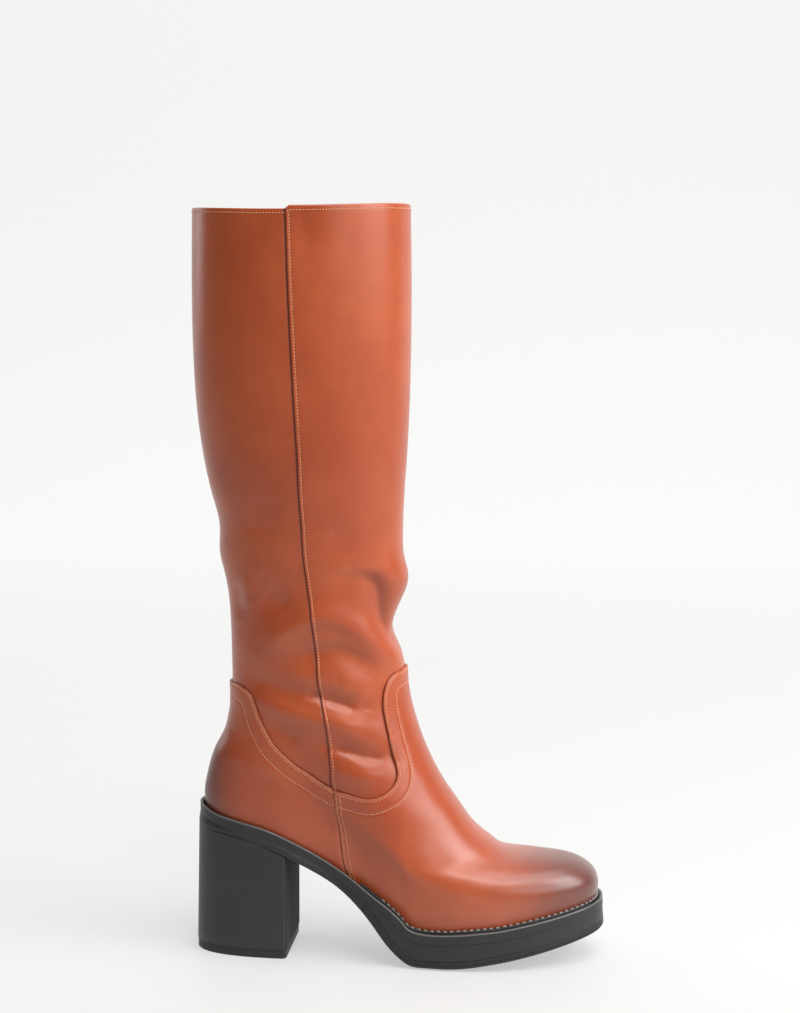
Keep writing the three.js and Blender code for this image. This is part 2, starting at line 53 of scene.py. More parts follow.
# Floor and backdrop: one pale sheet that turns up behind the boot in a wide curve. The light comes from
# large soft boxes and from the bright room all around.
def mesh_piece(name, points, faces):
    """A mesh object from an array of points and one of faces, all with as many corners, shaded smooth."""
    mesh = bpy.data.meshes.new(name)
    faces = np.asarray(faces)
    mesh.vertices.add(len(points))
    mesh.vertices.foreach_set("co", np.asarray(points, np.float32).ravel())
    mesh.loops.add(faces.size)
    mesh.loops.foreach_set("vertex_index", faces.ravel().astype(np.int32))
    mesh.polygons.add(len(faces))
    mesh.polygons.foreach_set("loop_start", np.arange(0, faces.size, faces.shape[1], dtype=np.int32))
    mesh.polygons.foreach_set("use_smooth", np.ones(len(faces), bool))
    mesh.update(calc_edges=True)
    mesh.validate()
    made = bpy.data.objects.new(name, mesh)
    bpy.context.scene.collection.objects.link(made)
    return made


def grid_faces(rows, columns, wrap_rows=False, wrap_columns=False):
    """Four-cornered faces of a grid whose points are numbered row by row; a wrapped side joins its ends."""
    r = np.arange(rows if wrap_rows else rows - 1)[:, None]
    c = np.arange(columns if wrap_columns else columns - 1)[None, :]
    up, over = (r + 1) % rows, (c + 1) % columns
    corners = [r * columns + c, r * columns + over, up * columns + over, up * columns + c]
    return np.stack(np.broadcast_arrays(*corners), -1).reshape(-1, 4)


FLOOR_REACH = 6.0
CURVE_START = 2.2
CURVE_RADIUS = 1.6
turn = np.radians(np.linspace(0, 90, 24))
wall_y = CURVE_START + CURVE_RADIUS
floor_y = np.concatenate([[-FLOOR_REACH], CURVE_START + CURVE_RADIUS * np.sin(turn), [wall_y]])
floor_z = np.concatenate([[0], CURVE_RADIUS * (1 - np.cos(turn)), [2 * FLOOR_REACH]])
floor_x = np.array([-FLOOR_REACH, FLOOR_REACH])
floor_points = np.stack(np.broadcast_arrays(floor_x[None, :], floor_y[:, None], floor_z[:, None]), -1)
floor = mesh_piece("floor", floor_points.reshape(-1, 3), grid_faces(len(floor_y), 2))

world = bpy.data.worlds.new("room")
world.use_nodes = True
background = world.node_tree.nodes["Background"]
background.inputs["Color"].default_value = (1.0, 0.99, 0.975, 1)
background.inputs["Strength"].default_value = 0.08
bpy.context.scene.world = world


def soft_box(name, place, aim, size, power):
    """A rectangular area light at a place, turned to a point."""
    data = bpy.data.lights.new(name, "AREA")
    data.shape = "RECTANGLE"
    data.size, data.size_y = size
    data.energy = power
    lamp = bpy.data.objects.new(name, data)
    lamp.location = place
    away = np.subtract(aim, place)
    lamp.rotation_euler = (
        math.atan2(math.hypot(away[0], away[1]), -away[2]),
        0,
        math.atan2(away[1], away[0]) - math.pi / 2,
    )
    bpy.context.scene.collection.objects.link(lamp)


soft_box("key_box", (2.05, -0.6, 1.3), (0.06, 0, 0.2), (1.4, 1.5), 34.5)
soft_box("small_box", (0.55, -1.35, 2.2), (0.08, 0, 0.1), (0.35, 0.35), 4.5)
soft_box("front_box", (1.35, -1.65, 0.92), (0.12, 0, 0.06), (1.3, 0.5), 7)
soft_box("top_box", (0.8, -0.55, 1.9), (0.1, 0, 0.05), (2.3, 1.9), 42)
soft_box("back_box", (-1.7, 0.8, 1.1), (0.0, 0, 0.25), (0.7, 1.5), 8.5)


# Materials are node trees written as expressions: a wire stands for one socket, and maths on wires adds the
# nodes that work it out.
class Wire:
    """A socket in a material's node tree; node() adds any node, and the operators add Math nodes."""

    def __init__(self, tree, socket=None):
        self.tree = tree
        self.socket = socket

    def node(self, kind, settings=(), inputs=(), output=0):
        """Adds a node, makes its settings, joins or sets its inputs, and returns one of its outputs."""
        made = self.tree.nodes.new("ShaderNode" + kind)
        for name, value in dict(settings).items():
            setattr(made, name, value)
        for key, value in dict(inputs).items():
            if isinstance(value, Wire):
                self.tree.links.new(value.socket, made.inputs[key])
            else:
                made.inputs[key].default_value = value
        return Wire(self.tree, made.outputs[output])

    def math(self, operation, *values):
        return self.node("Math", {"operation": operation}, enumerate(values))

    def __add__(self, other):
        return self.math("ADD", self, other)

    def __sub__(self, other):
        return self.math("SUBTRACT", self, other)

    def __rsub__(self, other):
        return self.math("SUBTRACT", other, self)

    def __mul__(self, other):
        return self.math("MULTIPLY", self, other)

    __radd__ = __add__
    __rmul__ = __mul__

    def smooth(self, low, high):
        """From 0 where the wire is at low to 1 where it is at high, with soft ends."""
        settings = {"interpolation_type": "SMOOTHSTEP", "data_type": "FLOAT"}
        return self.node("MapRange", settings, {0: self, 1: low, 2: high, 3: 0.0, 4: 1.0})

    def tint(self, first, second):
        """The first colour where the wire is 0, the second where it is 1."""
        return self.node("Mix", {"data_type": "RGBA"}, {0: self, 6: first, 7: second}, output=2)

    def axis(self, name):
        """One part, X, Y or Z, of a vector wire."""
        return self.node("SeparateXYZ", (), {0: self}, output="XYZ".index(name))


def finish_of(name, base, **sockets):
    """A material with a plain Principled shader, and a wire into its tree to build on."""
    material = bpy.data.materials.new(name)
    material.use_nodes = True
    shader = material.node_tree.nodes["Principled BSDF"]
    shader.inputs["Base Color"].default_value = base
    for key, value in sockets.items():
        shader.inputs[key.replace("_", " ")].default_value = value
    return material, shader, Wire(material.node_tree)


def join(wire, shader, key):
    """Leads a wire into a shader's socket."""
    wire.tree.links.new(wire.socket, shader.inputs[key])


floor_finish, floor_shader, wire = finish_of("pale_floor", (0.32, 0.32, 0.317, 1), Roughness=0.6)
away = wire.node("TexCoord", output=3).axis("Y")
glow = away.smooth(0.0, 3.4).tint((0.48, 0.48, 0.475, 1), (0.745, 0.745, 0.737, 1))
join(away.smooth(-1.2, 0.0).tint((0.0, 0.0, 0.0, 1), glow), floor_shader, "Emission Color")
floor_shader.inputs["Emission Strength"].default_value = 1.0
floor.data.materials.append(floor_finish)


# Upper: the leather of shaft and foot, one piece of goatskin thickness in a front and a back panel. The
# front panel's folded edge laps the back panel at both side seams and is sewn down with one row.
LAST_LENGTH = 0.240
BALL_WIDTH = 0.074
INSTEP_HEIGHT = 0.114
SHAFT_HEIGHT = 0.369
COLLAR_LENGTH = 0.1315
COLLAR_WIDTH = 0.101
LEG_FORWARD = 0.0365
TOE_SWING = 0.004
FRONT_PANEL_RISE = 0.0016
COLLAR_DIP = 0.0026
SEAM_LAP = 0.0009
SEAM_RAMP = 0.0012
OVERLAY_WALL = 0.0015
GAP = 0.0003
HEEL_HEIGHT = 0.0915
PLATFORM_HEIGHT = 0.0217
TOE_SPRING = 0.0156
RIM_DEPTH = 0.0033
LEATHER = 0.0014


def columns(names, rows):
    """A table's columns by name."""
    return dict(zip(names.split(), np.array(rows.split(), float).reshape(-1, len(names.split())).T))


FOOT_LEVELS = columns("backX backRise frontX frontRise width print seam bend", """
    -0.094 0 0.892 0 1 1 0.385 1
    -0.096 0.066 0.905 0.068 1.04 1 0.39 1
    -0.095 0.123 0.907 0.13 1.07 0.98 0.4 1
    -0.09 0.18 0.892 0.178 1.08 0.95 0.41 1
    -0.084 0.237 0.85 0.205 1.08 0.91 0.42 1
    -0.077 0.294 0.777 0.19 1.07 0.85 0.43 0.98
    -0.067 0.352 0.68 0.163 1.06 0.76 0.439 0.95
    -0.056 0.4 0.633 0.2 1.04 0.67 0.449 0.9
    -0.047 0.44 0.583 0.263 1.02 0.57 0.467 0.8
    -0.04 0.479 0.541 0.361 1 0.46 0.494 0.68
    -0.036 0.514 0.503 0.461 0.985 0.35 0.518 0.54
    -0.032 0.558 0.47 0.579 0.97 0.25 0.54 0.4
    -0.029 0.597 0.445 0.7 0.96 0.16 0.558 0.27
    -0.028 0.637 0.427 0.818 0.955 0.09 0.562 0.16
    -0.028 0.685 0.417 0.922 0.955 0.04 0.557 0.08
    -0.029 0.742 0.415 1 0.96 0 0.549 0
""")
SHAFT_LEVELS = columns("rise back front width seam", """
    0.254 -0.662 0.96 0.71 0.542
    0.282 -0.664 0.96 0.722 0.536
    0.308 -0.668 0.958 0.733 0.53
    0.332 -0.675 0.957 0.743 0.524
    0.365 -0.69 0.955 0.758 0.517
    0.4 -0.715 0.948 0.775 0.511
    0.44 -0.748 0.932 0.8 0.51
    0.49 -0.785 0.935 0.835 0.512
    0.54 -0.851 0.948 0.875 0.517
    0.6 -0.917 0.972 0.92 0.523
    0.68 -0.974 0.994 0.96 0.52
    0.78 -1.003 1.008 0.99 0.511
    0.89 -1.008 1.012 1 0.499
    1 -1 1.003 1 0.491
""")
FOOTPRINT = columns("along outer inner", """
    0 0.93 0.93
    0.2 0.81 0.8
    0.36 0.715 0.62
    0.52 0.915 0.7
    0.66 1.08 0.9
    0.82 1.155 0.985
    1 1.15 0.97
""")
SOLE_LINE = columns("along rim spring thick", """
    -0.13 1.04 0 0.7
    -0.1 0.995 0 0.62
    -0.055 0.94 0 0.48
    0 0.9 0 0.46
    0.08 0.83 0 0.5
    0.165 0.697 0 0.515
    0.25 0.53 0 0.51
    0.303 0.41 0 0.62
    0.345 0.305 0 0.8
    0.385 0.212 0 1.13
    0.42 0.11 0 1.17
    0.44 0.035 0 1.11
    0.475 0.003 0 1.03
    0.52 0 0 1.03
    0.57 0 0.05 1.05
    0.62 0 0.13 0.975
    0.67 0 0.22 0.965
    0.8 0 0.6 0.92
    0.87 0 0.81 0.885
    0.95 0 1.02 0.87
""")
FOLDS = [
    [0.308, 0, 0.183, 42, -0.08, 0.218],
    [0.392, 0, 0.109, 40, 0.026, 0.158],
    [0.262, 0, 0.119, 46, 0.012, 0.099],
    [0.435, 180, 0.119, 38, 0.017, -0.079],
    [0.49, 180, 0.158, 40, -0.008, -0.079],
]


def curve(xs, ys):
    """A smooth curve through points: a cubic between each pair, with slopes from the neighbours."""
    xs, ys = np.array(xs, float), np.array(ys, float)
    low = np.maximum(np.arange(len(xs)) - 1, 0)
    high = np.minimum(np.arange(len(xs)) + 1, len(xs) - 1)
    slopes = (ys[high] - ys[low]) / (xs[high] - xs[low])

    def at(x):
        i = np.clip(np.searchsorted(xs, x, side="left") - 1, 0, len(xs) - 2)
        w = xs[i + 1] - xs[i]
        t = np.clip((x - xs[i]) / w, 0, 1)
        rise = ys[i] * (1 + 2 * t) * (1 - t) ** 2 + ys[i + 1] * t * t * (3 - 2 * t)
        return rise + w * t * (1 - t) * (slopes[i] * (1 - t) - slopes[i + 1] * t)

    return at


def mix(a, b, t):
    """From a where t is 0 to b where t is 1."""
    return a + (b - a) * t


def smoothstep(x, low, high):
    """From 0 below low to 1 above high, as three squares of t less two cubes."""
    t = np.clip((x - low) / (high - low), 0, 1)
    return t * t * (3 - 2 * t)


sole_line = {name: curve(SOLE_LINE["along"], SOLE_LINE[name]) for name in ("rim", "spring", "thick")}


def rim_z(x):
    """Height of the sole's rim: platform, plus its share of the heel, plus the toe's spring."""
    share = x / LAST_LENGTH
    heel = (HEEL_HEIGHT - PLATFORM_HEIGHT) * sole_line["rim"](share)
    return PLATFORM_HEIGHT + heel + TOE_SPRING * sole_line["spring"](share)


def feather_z(x):
    """Height of the feather edge, inside the rim."""
    return rim_z(x) - RIM_DEPTH


seat_x = FOOT_LEVELS["backX"][0] * LAST_LENGTH
toe_x = FOOT_LEVELS["frontX"][0] * LAST_LENGTH
seat_z = float(feather_z(seat_x))
toe_z = float(feather_z(toe_x))


def levels():
    """Size and place of each level of the boot, from the feather edge to the collar, by column."""
    foot, shaft = FOOT_LEVELS, SHAFT_LEVELS
    back_x, front_x = foot["backX"] * LAST_LENGTH, foot["frontX"] * LAST_LENGTH

    def chord(x):
        return mix(seat_z, toe_z, (x - seat_x) / (toe_x - seat_x))

    none = np.zeros(len(shaft["rise"]))
    height = seat_z + shaft["rise"] * SHAFT_HEIGHT
    both = {
        "backX": (back_x, LEG_FORWARD + shaft["back"] * COLLAR_LENGTH / 2),
        "frontX": (front_x, LEG_FORWARD + shaft["front"] * COLLAR_LENGTH / 2),
        "backZ": (chord(back_x) + foot["backRise"] * INSTEP_HEIGHT, height),
        "frontZ": (chord(front_x) + foot["frontRise"] * INSTEP_HEIGHT, height),
        "half": (foot["width"] * BALL_WIDTH / 2, shaft["width"] * COLLAR_WIDTH / 2),
        "print": (foot["print"], none),
        "seam": (foot["seam"], shaft["seam"]),
        "bend": (foot["bend"], none),
    }
    return {name: np.concatenate(parts) for name, parts in both.items()}


LEVELS = levels()
TOP = len(LEVELS["seam"]) - 1
level_curve = {name: curve(np.arange(TOP + 1), values) for name, values in LEVELS.items()}
outer_print = curve(FOOTPRINT["along"], FOOTPRINT["outer"])
inner_print = curve(FOOTPRINT["along"], FOOTPRINT["inner"])
SHAFT_ROUND, HEEL_ROUND, TOE_ROUND = 2.15, 2.45, 2.6


def form_point(angle, level):
    """Points of the boot's form. A level is an oval with ends of a named roundness, as wide as the footprint
    says; angle goes from the back (0) past the outer side (90) and the toe (180) to the inner side (270)."""
    angle, level = np.broadcast_arrays(angle, level)
    at = {name: line(level) for name, line in level_curve.items()}
    even = (1 - np.cos(np.radians(angle))) / 2
    along = even + 4 * (at["seam"] - 0.5) * even * (1 - even)
    off = np.abs(2 * along - 1)
    roundness = mix(SHAFT_ROUND, np.where(along < 0.5, HEEL_ROUND, TOE_ROUND), at["print"])
    end = np.maximum(1 - off**roundness, 0) ** (1 / roundness)
    outer = angle <= 180
    print_width = mix(1, np.where(outer, outer_print(along), inner_print(along)), at["print"])
    x = mix(at["backX"], at["frontX"], along)
    ends = mix(feather_z(at["backX"]), feather_z(at["frontX"]), along)
    z = mix(at["backZ"], at["frontZ"], along) + at["bend"] * (feather_z(x) - ends)
    y = TOE_SWING * at["print"] * along**2 + np.where(outer, -1, 1) * at["half"] * print_width * end
    return np.stack([x, y, z], -1)


def form_normal(angle, level):
    """Direction out of the form: the cross product of steps around and up, level at the feather edge."""
    turn, step = 0.6, 0.04
    around = form_point((angle + turn) % 360, level) - form_point((angle - turn) % 360, level)
    up = form_point(angle, np.minimum(level + step, TOP)) - form_point(angle, np.maximum(level - step, 0))
    normal = np.cross(around, up)
    normal[..., 2] = np.where(np.broadcast_to(level, normal.shape[:-1]) == 0, 0, normal[..., 2])
    return normal / np.linalg.norm(normal, axis=-1, keepdims=True)


# The leather's folds at the ankle, seen from the outer side: the reach to the left and to the right of a path
# and the push outwards, all in millimetres, then the path's points, x in shares of half the collar's length
# from the middle of the shaft and z in shares of the shaft's height over the heel seat.
WRINKLES = [
    (4.2, 9, -2.7, 0.53, 0.407, 0.675, 0.402, 0.757, 0.389, 0.798, 0.368, 0.825, 0.343, 0.866, 0.32, 0.912,
     0.304),
    (10, 5, 1.8, -0.355, 0.275, -0.226, 0.293, -0.042, 0.317, 0.17, 0.335, 0.345, 0.335, 0.536, 0.32, 0.729,
     0.296, 0.893, 0.274),
    (5, 9, -2.1, -0.098, 0.266, 0.05, 0.276, 0.215, 0.282, 0.371, 0.284, 0.509, 0.278, 0.655, 0.262, 0.802,
     0.248),
    (8, 8, 0.7, 0.371, 0.228, 0.554, 0.22, 0.7, 0.21),
    (8, 8, -1.6, -0.508, 0.23, -0.304, 0.227, -0.102, 0.216, 0.083, 0.205),
    (6.5, 3.4, -2.3, 0.06, 0.212, 0.25, 0.206, 0.42, 0.197, 0.58, 0.188),
    (6, 7, 1.8, -0.304, 0.197, -0.091, 0.182, 0.139, 0.171, 0.305, 0.167, 0.508, 0.158, 0.69, 0.149),
    (6, 3.8, -2.3, 0.3, 0.124, 0.48, 0.119, 0.66, 0.11, 0.86, 0.106),
    (5, 5, 1.0, 0.34, 0.088, 0.525, 0.08, 0.83, 0.075),
    (6, 7, -1.1, -0.306, 0.166, -0.139, 0.147, 0.047, 0.132),
    (6, 6, -1.2, -0.558, 0.39, -0.548, 0.361, -0.54, 0.325),
    (6, 8, 0.9, -0.41, 0.407, -0.448, 0.378, -0.476, 0.349),
    (9, 9, -1.1, -0.3, 0.377, -0.18, 0.363, -0.088, 0.349),
    (11, 11, -1.0, -0.28, 0.54, -0.28, 0.505, -0.318, 0.462),
    (12, 12, -0.8, 0.325, 0.487, 0.463, 0.461, 0.528, 0.431),
    (9, 9, -0.9, 0.127, 0.995, 0.154, 0.96, 0.136, 0.925),
]


def near_wrinkles(x, z):
    """For each wrinkle: its row's reaches and depth, each point's squared distance to its path, the side of
    the path it is on, and the path's strength there, which fades towards both ends."""
    for left, right, depth, *path in WRINKLES:
        xs = LEG_FORWARD + np.array(path[::2]) * COLLAR_LENGTH / 2
        zs = seat_z + np.array(path[1::2]) * SHAFT_HEIGHT
        order = np.arange(len(xs))
        fine = np.linspace(0, len(xs) - 1, 6 * len(xs))
        line = np.stack([curve(order, xs)(fine), curve(order, zs)(fine)], -1)
        ahead = np.gradient(line, axis=0)
        strength = 0.3 + 0.7 * smoothstep(np.sin(np.linspace(0, np.pi, len(fine))), 0, 0.8)
        near, side, strong = np.full(x.shape, np.inf), np.zeros(x.shape), np.zeros(x.shape)
        for (px, pz), (dx, dz), share in zip(line, ahead, strength):
            away = (x - px) ** 2 + (z - pz) ** 2
            side = np.where(away < near, dx * (z - pz) - dz * (x - px), side)
            strong = np.where(away < near, share, strong)
            near = np.minimum(near, away)
        yield left, right, depth, near, side, strong


def wrinkle_push(angle, x, z):
    """How far the wrinkles push a point out: for each, its push times a bell over the distance to its path,
    with a reach of its own on each side of the path. They are half as deep on the inner side."""
    push = np.zeros_like(x)
    for left, right, depth, near, side, strong in near_wrinkles(x, z):
        reach = np.where(side > 0, left, right) * 0.001
        push = push + depth * 0.001 * strong * np.exp(-near / reach**2)
    return 1.35 * push * (0.75 + 0.25 * np.sin(np.radians(angle)))


def painted_wrinkle_shade(angle, x, z):
    """Painted shade in the deep creases: how much darker the colour is made there, a narrow bell on the upper side
    of each.
    """
    dark = np.zeros_like(x)
    for left, right, depth, near, side, strong in near_wrinkles(x, z):
        if depth < -2:
            reach = np.where(side > 0, 0.0042, 0.0014)
            dark = np.maximum(dark, 0.55 * (-1.9 - depth) * strong * np.exp(-near / reach**2))
    return dark * (0.6 + 0.4 * np.sin(np.radians(angle)))


def fold_push(angle, x, z):
    """How far folds push a point of the shaft out: a sum of bells over height and over the turn aside."""
    from_front = np.abs(angle - 180)
    push = wrinkle_push(angle, x, z)
    for rise, turn, tall, wide, depth, climb in FOLDS:
        aside = np.abs(from_front - turn)
        height = seat_z + rise * SHAFT_HEIGHT + climb * COLLAR_WIDTH * (aside / 90) ** 1.5
        above = (z - height) / (tall * COLLAR_WIDTH)
        push = push + depth * COLLAR_WIDTH * np.exp(-(above**2) - (aside / wide) ** 2)
    return push


def surface(angle, level, out=0.0):
    """Points at a distance outside the form, folds included."""
    angle, level, out = np.broadcast_arrays(angle, level, out)
    p = form_point(angle, level)
    push = fold_push(angle, p[..., 0], p[..., 2])
    return p + form_normal(angle, level) * (out + push)[..., None]


LAP_FROM = 7


def lap(level):
    """The front panel's lap, which starts above the ankle's overlays' feet."""
    return SEAM_LAP * smoothstep(level, LAP_FROM, LAP_FROM + 2)


SEAM_STEPS = np.array([
    -5, -3.6, -2.6, -2, -1.6, -1.25, -1.1, -1, -0.85, -0.65, -0.4, 0, 0.4, 0.7, 1, 1.3, 1.6, 2, 2.6, 3.4, 4.6,
]) * 0.001
seam_angles = 90 + np.degrees(SEAM_STEPS / (COLLAR_LENGTH / 2))
half_angles = np.concatenate([
    np.linspace(0, seam_angles[0], 62)[:-1], seam_angles, np.linspace(seam_angles[-1], 180, 64)[1:]
])
around = np.concatenate([half_angles, 360 - half_angles[-2:0:-1]])
up = np.concatenate([np.arange(0, 5, 1 / 2), np.arange(5, 22, 1 / 9), np.linspace(22, TOP, 62)])


def seam_relief(angle):
    """Height of the front panel over the back one across the side seams: a folded edge rounded like a quarter
    circle, a dip under the stitches, and a groove in the back panel beside it."""
    beside = np.radians(90 - np.abs(np.abs(angle - 180) - 90) - 90)
    front = np.where(np.abs(angle - 180) < 90, -beside, beside) * COLLAR_LENGTH / 2
    t = np.clip((front + SEAM_RAMP) / 0.0009, 0, 1)
    fold = np.sqrt(1 - (1 - t) ** 2)
    roll = 0.2 * np.exp(-((front + 0.0001) / 0.0007) ** 2)
    stitches = -0.25 * np.exp(-((front - 0.001) / 0.0004) ** 2)
    groove = -0.45 * np.exp(-((front + 0.0017) / 0.0007) ** 2)
    return fold + (roll + stitches) * (t > 0) + groove * (t <= 0)


def raise_front(points, angle, level):
    """Lifts the front panel's top over the back panel's, and lets the collar dip a little at both sides."""
    in_front = smoothstep(-np.abs(angle - 180), -91.0, -88.9)
    dip = COLLAR_DIP * np.sin(np.radians(angle)) ** 2
    points[..., 2] += (FRONT_PANEL_RISE * in_front - dip) * smoothstep(level, TOP - 1.2, TOP)
    return points


def upper_skin():
    """Ring by ring: the outside from the feather edge up, the turned edge of the collar as a half circle,
    and the leather's inner face down again."""
    a, l = around[None, :], up[:, None]
    outside = surface(a, l, lap(l) * seam_relief(a))
    outside = raise_front(outside, a, l)
    bend = np.radians(np.linspace(0, 180, 9)[1:-1])[:, None]
    in_front = (np.abs(a - 180) < 91) * 1.0
    middle = (SEAM_LAP * in_front - LEATHER) / 2
    half = (SEAM_LAP * in_front + LEATHER) / 2
    top = np.full_like(bend, TOP)
    edge = surface(a, top, middle + half * np.cos(bend))
    edge = raise_front(edge, a, top)
    edge[..., 2] += half * np.sin(bend)
    down = np.linspace(TOP, 0, 40)[:, None]
    inside = raise_front(surface(a, down, -LEATHER), a, down)
    return np.concatenate([outside, edge, inside])


upper_points = upper_skin()
rows, count = upper_points.shape[:2]
upper = mesh_piece(
    "upper_leather", upper_points.reshape(-1, 3), grid_faces(rows, count, wrap_rows=True, wrap_columns=True)
)


def shade(piece, values):
    """Stores a mark at each point for the finishes: painted shade where positive, as in a seam's groove, a crease
    or at an overlay's raw edge (there partly dark edge paint), and a painted highlight where negative; on rubber a
    positive mark only makes it matt.
    """
    stored = piece.data.attributes.new("shade", "FLOAT", "POINT")
    stored.data.foreach_set("value", np.asarray(values, np.float32).ravel())


seam_front = (90 - np.abs(around - 180)) * np.pi / 180 * COLLAR_LENGTH / 2
# Painted shadow: a dark line in the back panel's groove beside each side seam's folded edge.
painted_seam_groove_shade = 0.9 * np.exp(-((seam_front + 0.0015) / 0.0005) ** 2)
skin_place = form_point(around[None, :], up[:, None])
# Painted shade along the deep creases of the ankle.
painted_crease_shade = painted_wrinkle_shade(around[None, :], skin_place[..., 0], skin_place[..., 2])
painted_crease_shade = np.concatenate([painted_crease_shade, np.zeros((rows - len(up), count))])
shade(upper, np.maximum(painted_seam_groove_shade, painted_crease_shade))
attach(upper, "root")
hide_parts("upper")


# Leather finish: smooth tan calf with a fine grain, darker dye burnished into toe and heel, and a soft polish.
def leather_finish():
    """Tan varies over broad patches and is darkened by the burnish. Painted shade darkens it in the seams'
    grooves, the deep creases and at the overlays' edges, which partly is dark edge paint, and a painted highlight
    lightens the folded edges; the grain is a fine cell pattern with pores, which only dents the surface."""
    material, shader, wire = finish_of(
        "tan_leather", (0.45, 0.11, 0.045, 1), Roughness=0.36, Specular_IOR_Level=0.54, Coat_Roughness=0.33
    )
    where = wire.node("TexCoord", output=3)
    broad = wire.node("TexNoise", (), {"Vector": where, "Scale": 14.0, "Detail": 3.0, "Roughness": 0.5})
    patches = wire.node("TexNoise", (), {"Vector": where, "Scale": 60.0, "Detail": 4.0, "Roughness": 0.6})
    tan = broad.smooth(0.35, 0.66).tint((0.40, 0.071, 0.023, 1), (0.47, 0.096, 0.033, 1))
    tan = (patches.smooth(0.35, 0.75) * 0.4).tint(tan, (0.36, 0.06, 0.02, 1))
    x, z = where.axis("X"), where.axis("Z")
    toe = (x + patches * 0.02).smooth(0.156, 0.226) * z.smooth(0.012, 0.044)
    heel = (1 - (x + patches * 0.012).smooth(-0.022, 0.012)) * (1 - (z + patches * 0.02).smooth(0.135, 0.19))
    burnt = toe * 0.87 + heel * 0.9
    colour = burnt.tint(tan, (0.09, 0.034, 0.03, 1))
    join(x.smooth(0.1, 0.165) * 0.55, shader, "Coat Weight")
    # The stored mark: where positive, painted shade (at the overlays' edges partly dark edge paint) makes the
    # colour near black and rougher; where negative, a painted highlight makes it a light tan.
    edge = wire.node("Attribute", {"attribute_name": "shade"}, output=2)
    seam = edge.math("MAXIMUM", edge, 0.0)
    painted_edge_highlight = edge.math("MAXIMUM", edge * -1.0, 0.0)
    colour = seam.tint(colour, (0.05, 0.01, 0.005, 1))
    colour = painted_edge_highlight.tint(colour, (0.62, 0.2, 0.09, 1))
    join(colour, shader, "Base Color")
    join(0.26 + patches * 0.11 + seam * 0.3, shader, "Roughness")
    cells = wire.node("TexVoronoi", {"feature": "SMOOTH_F1"}, {"Vector": where, "Scale": 1300.0})
    fine = wire.node("TexNoise", (), {"Vector": where, "Scale": 900.0, "Detail": 3.0})
    height = cells * 0.6 + fine * 0.8
    grain = wire.node("Bump", (), {"Strength": 0.42, "Distance": 0.00012, "Height": height})
    join(grain, shader, "Normal")
    return material


tan_leather = leather_finish()
upper.data.materials.append(tan_leather)


# Lining: thin pale leather glued inside the upper, a little short of the collar's turned edge.
LINING = 0.0008
lining_up = np.linspace(0, TOP, 90)[:, None]
lining_around = np.linspace(0, 360, 121)[None, :-1]
lining_low = raise_front(surface(lining_around, lining_up, -LEATHER - LINING), lining_around, lining_up)
lining_low[-1, :, 2] -= 0.0006
lining_back = raise_front(surface(lining_around, lining_up, -LEATHER - 0.00002), lining_around, lining_up)
lining_back[-1, :, 2] -= 0.0002
lining_points = np.concatenate([lining_low[::-1], lining_back])
lining = mesh_piece(
    "lining", lining_points.reshape(-1, 3), grid_faces(*lining_points.shape[:2], wrap_rows=True, wrap_columns=True)
)
lining_finish, lining_shader, wire = finish_of("pale_lining", (0.56, 0.42, 0.29, 1), Roughness=0.75)
where = wire.node("TexCoord", output=3)
soil = wire.node("TexNoise", (), {"Vector": where, "Scale": 60.0, "Detail": 5.0})
join(soil.smooth(0.3, 0.8).tint((0.6, 0.46, 0.32, 1), (0.47, 0.34, 0.22, 1)), lining_shader, "Base Color")
pores = wire.node("TexVoronoi", (), {"Vector": where, "Scale": 900.0})
join(wire.node("Bump", (), {"Strength": 0.4, "Distance": 0.0001, "Height": pores}), lining_shader, "Normal")
lining.data.materials.append(lining_finish)
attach(lining, "root")


# Vamp: the leather over forefoot and instep, with a tongue-shaped top at the front of the ankle. Its folded
# edge is sewn down with one row close to the edge and a second one further in.
VAMP_EDGE = np.array([
    [0.249, 0.0535], [0.275, 0.05], [0.302, 0.0455], [0.33, 0.042], [0.356, 0.0435], [0.38, 0.051],
    [0.396, 0.061], [0.4035, 0.073], [0.403, 0.086], [0.3965, 0.103], [0.387, 0.124], [0.378, 0.147],
    [0.3695, 0.172], [0.3655, 0.192], [0.3665, 0.209], [0.373, 0.2245], [0.385, 0.2365], [0.402, 0.2425],
    [0.43, 0.248], [0.47, 0.254],
])
FOOT_SEAM = np.array([
    [0.289, -0.13], [0.284, -0.094], [0.273, -0.074], [0.2665, -0.045], [0.2605, -0.005], [0.2535, 0.024],
    [0.249, 0.0535],
])
EDGE_STEPS = np.array([
    0, 0.015, 0.06, 0.13, 0.23, 0.36, 0.5, 0.7, 0.9, 1.15, 1.4, 1.65, 1.9, 2.2, 2.6, 3.1, 3.6, 4.1, 4.5, 4.9,
    5.5, 6.3, 7.2, 8.1, 8.7, 9.1, 9.5, 9.9, 10.3, 11, 12,
]) * 0.001
FIRST_ROW, SECOND_ROW, SEAM_ROW = 0.0019, 0.0095, 0.0045


def side_view(edge):
    """An edge's x and z in metres, as a smooth line of many points through its table."""
    x, z = edge[:, 0] * LAST_LENGTH, seat_z + edge[:, 1] * SHAFT_HEIGHT
    along = np.concatenate([[0], np.cumsum(np.hypot(np.diff(x), np.diff(z)))])
    fine = np.linspace(0, along[-1], 500)
    return curve(along, x)(fine), curve(along, z)(fine)


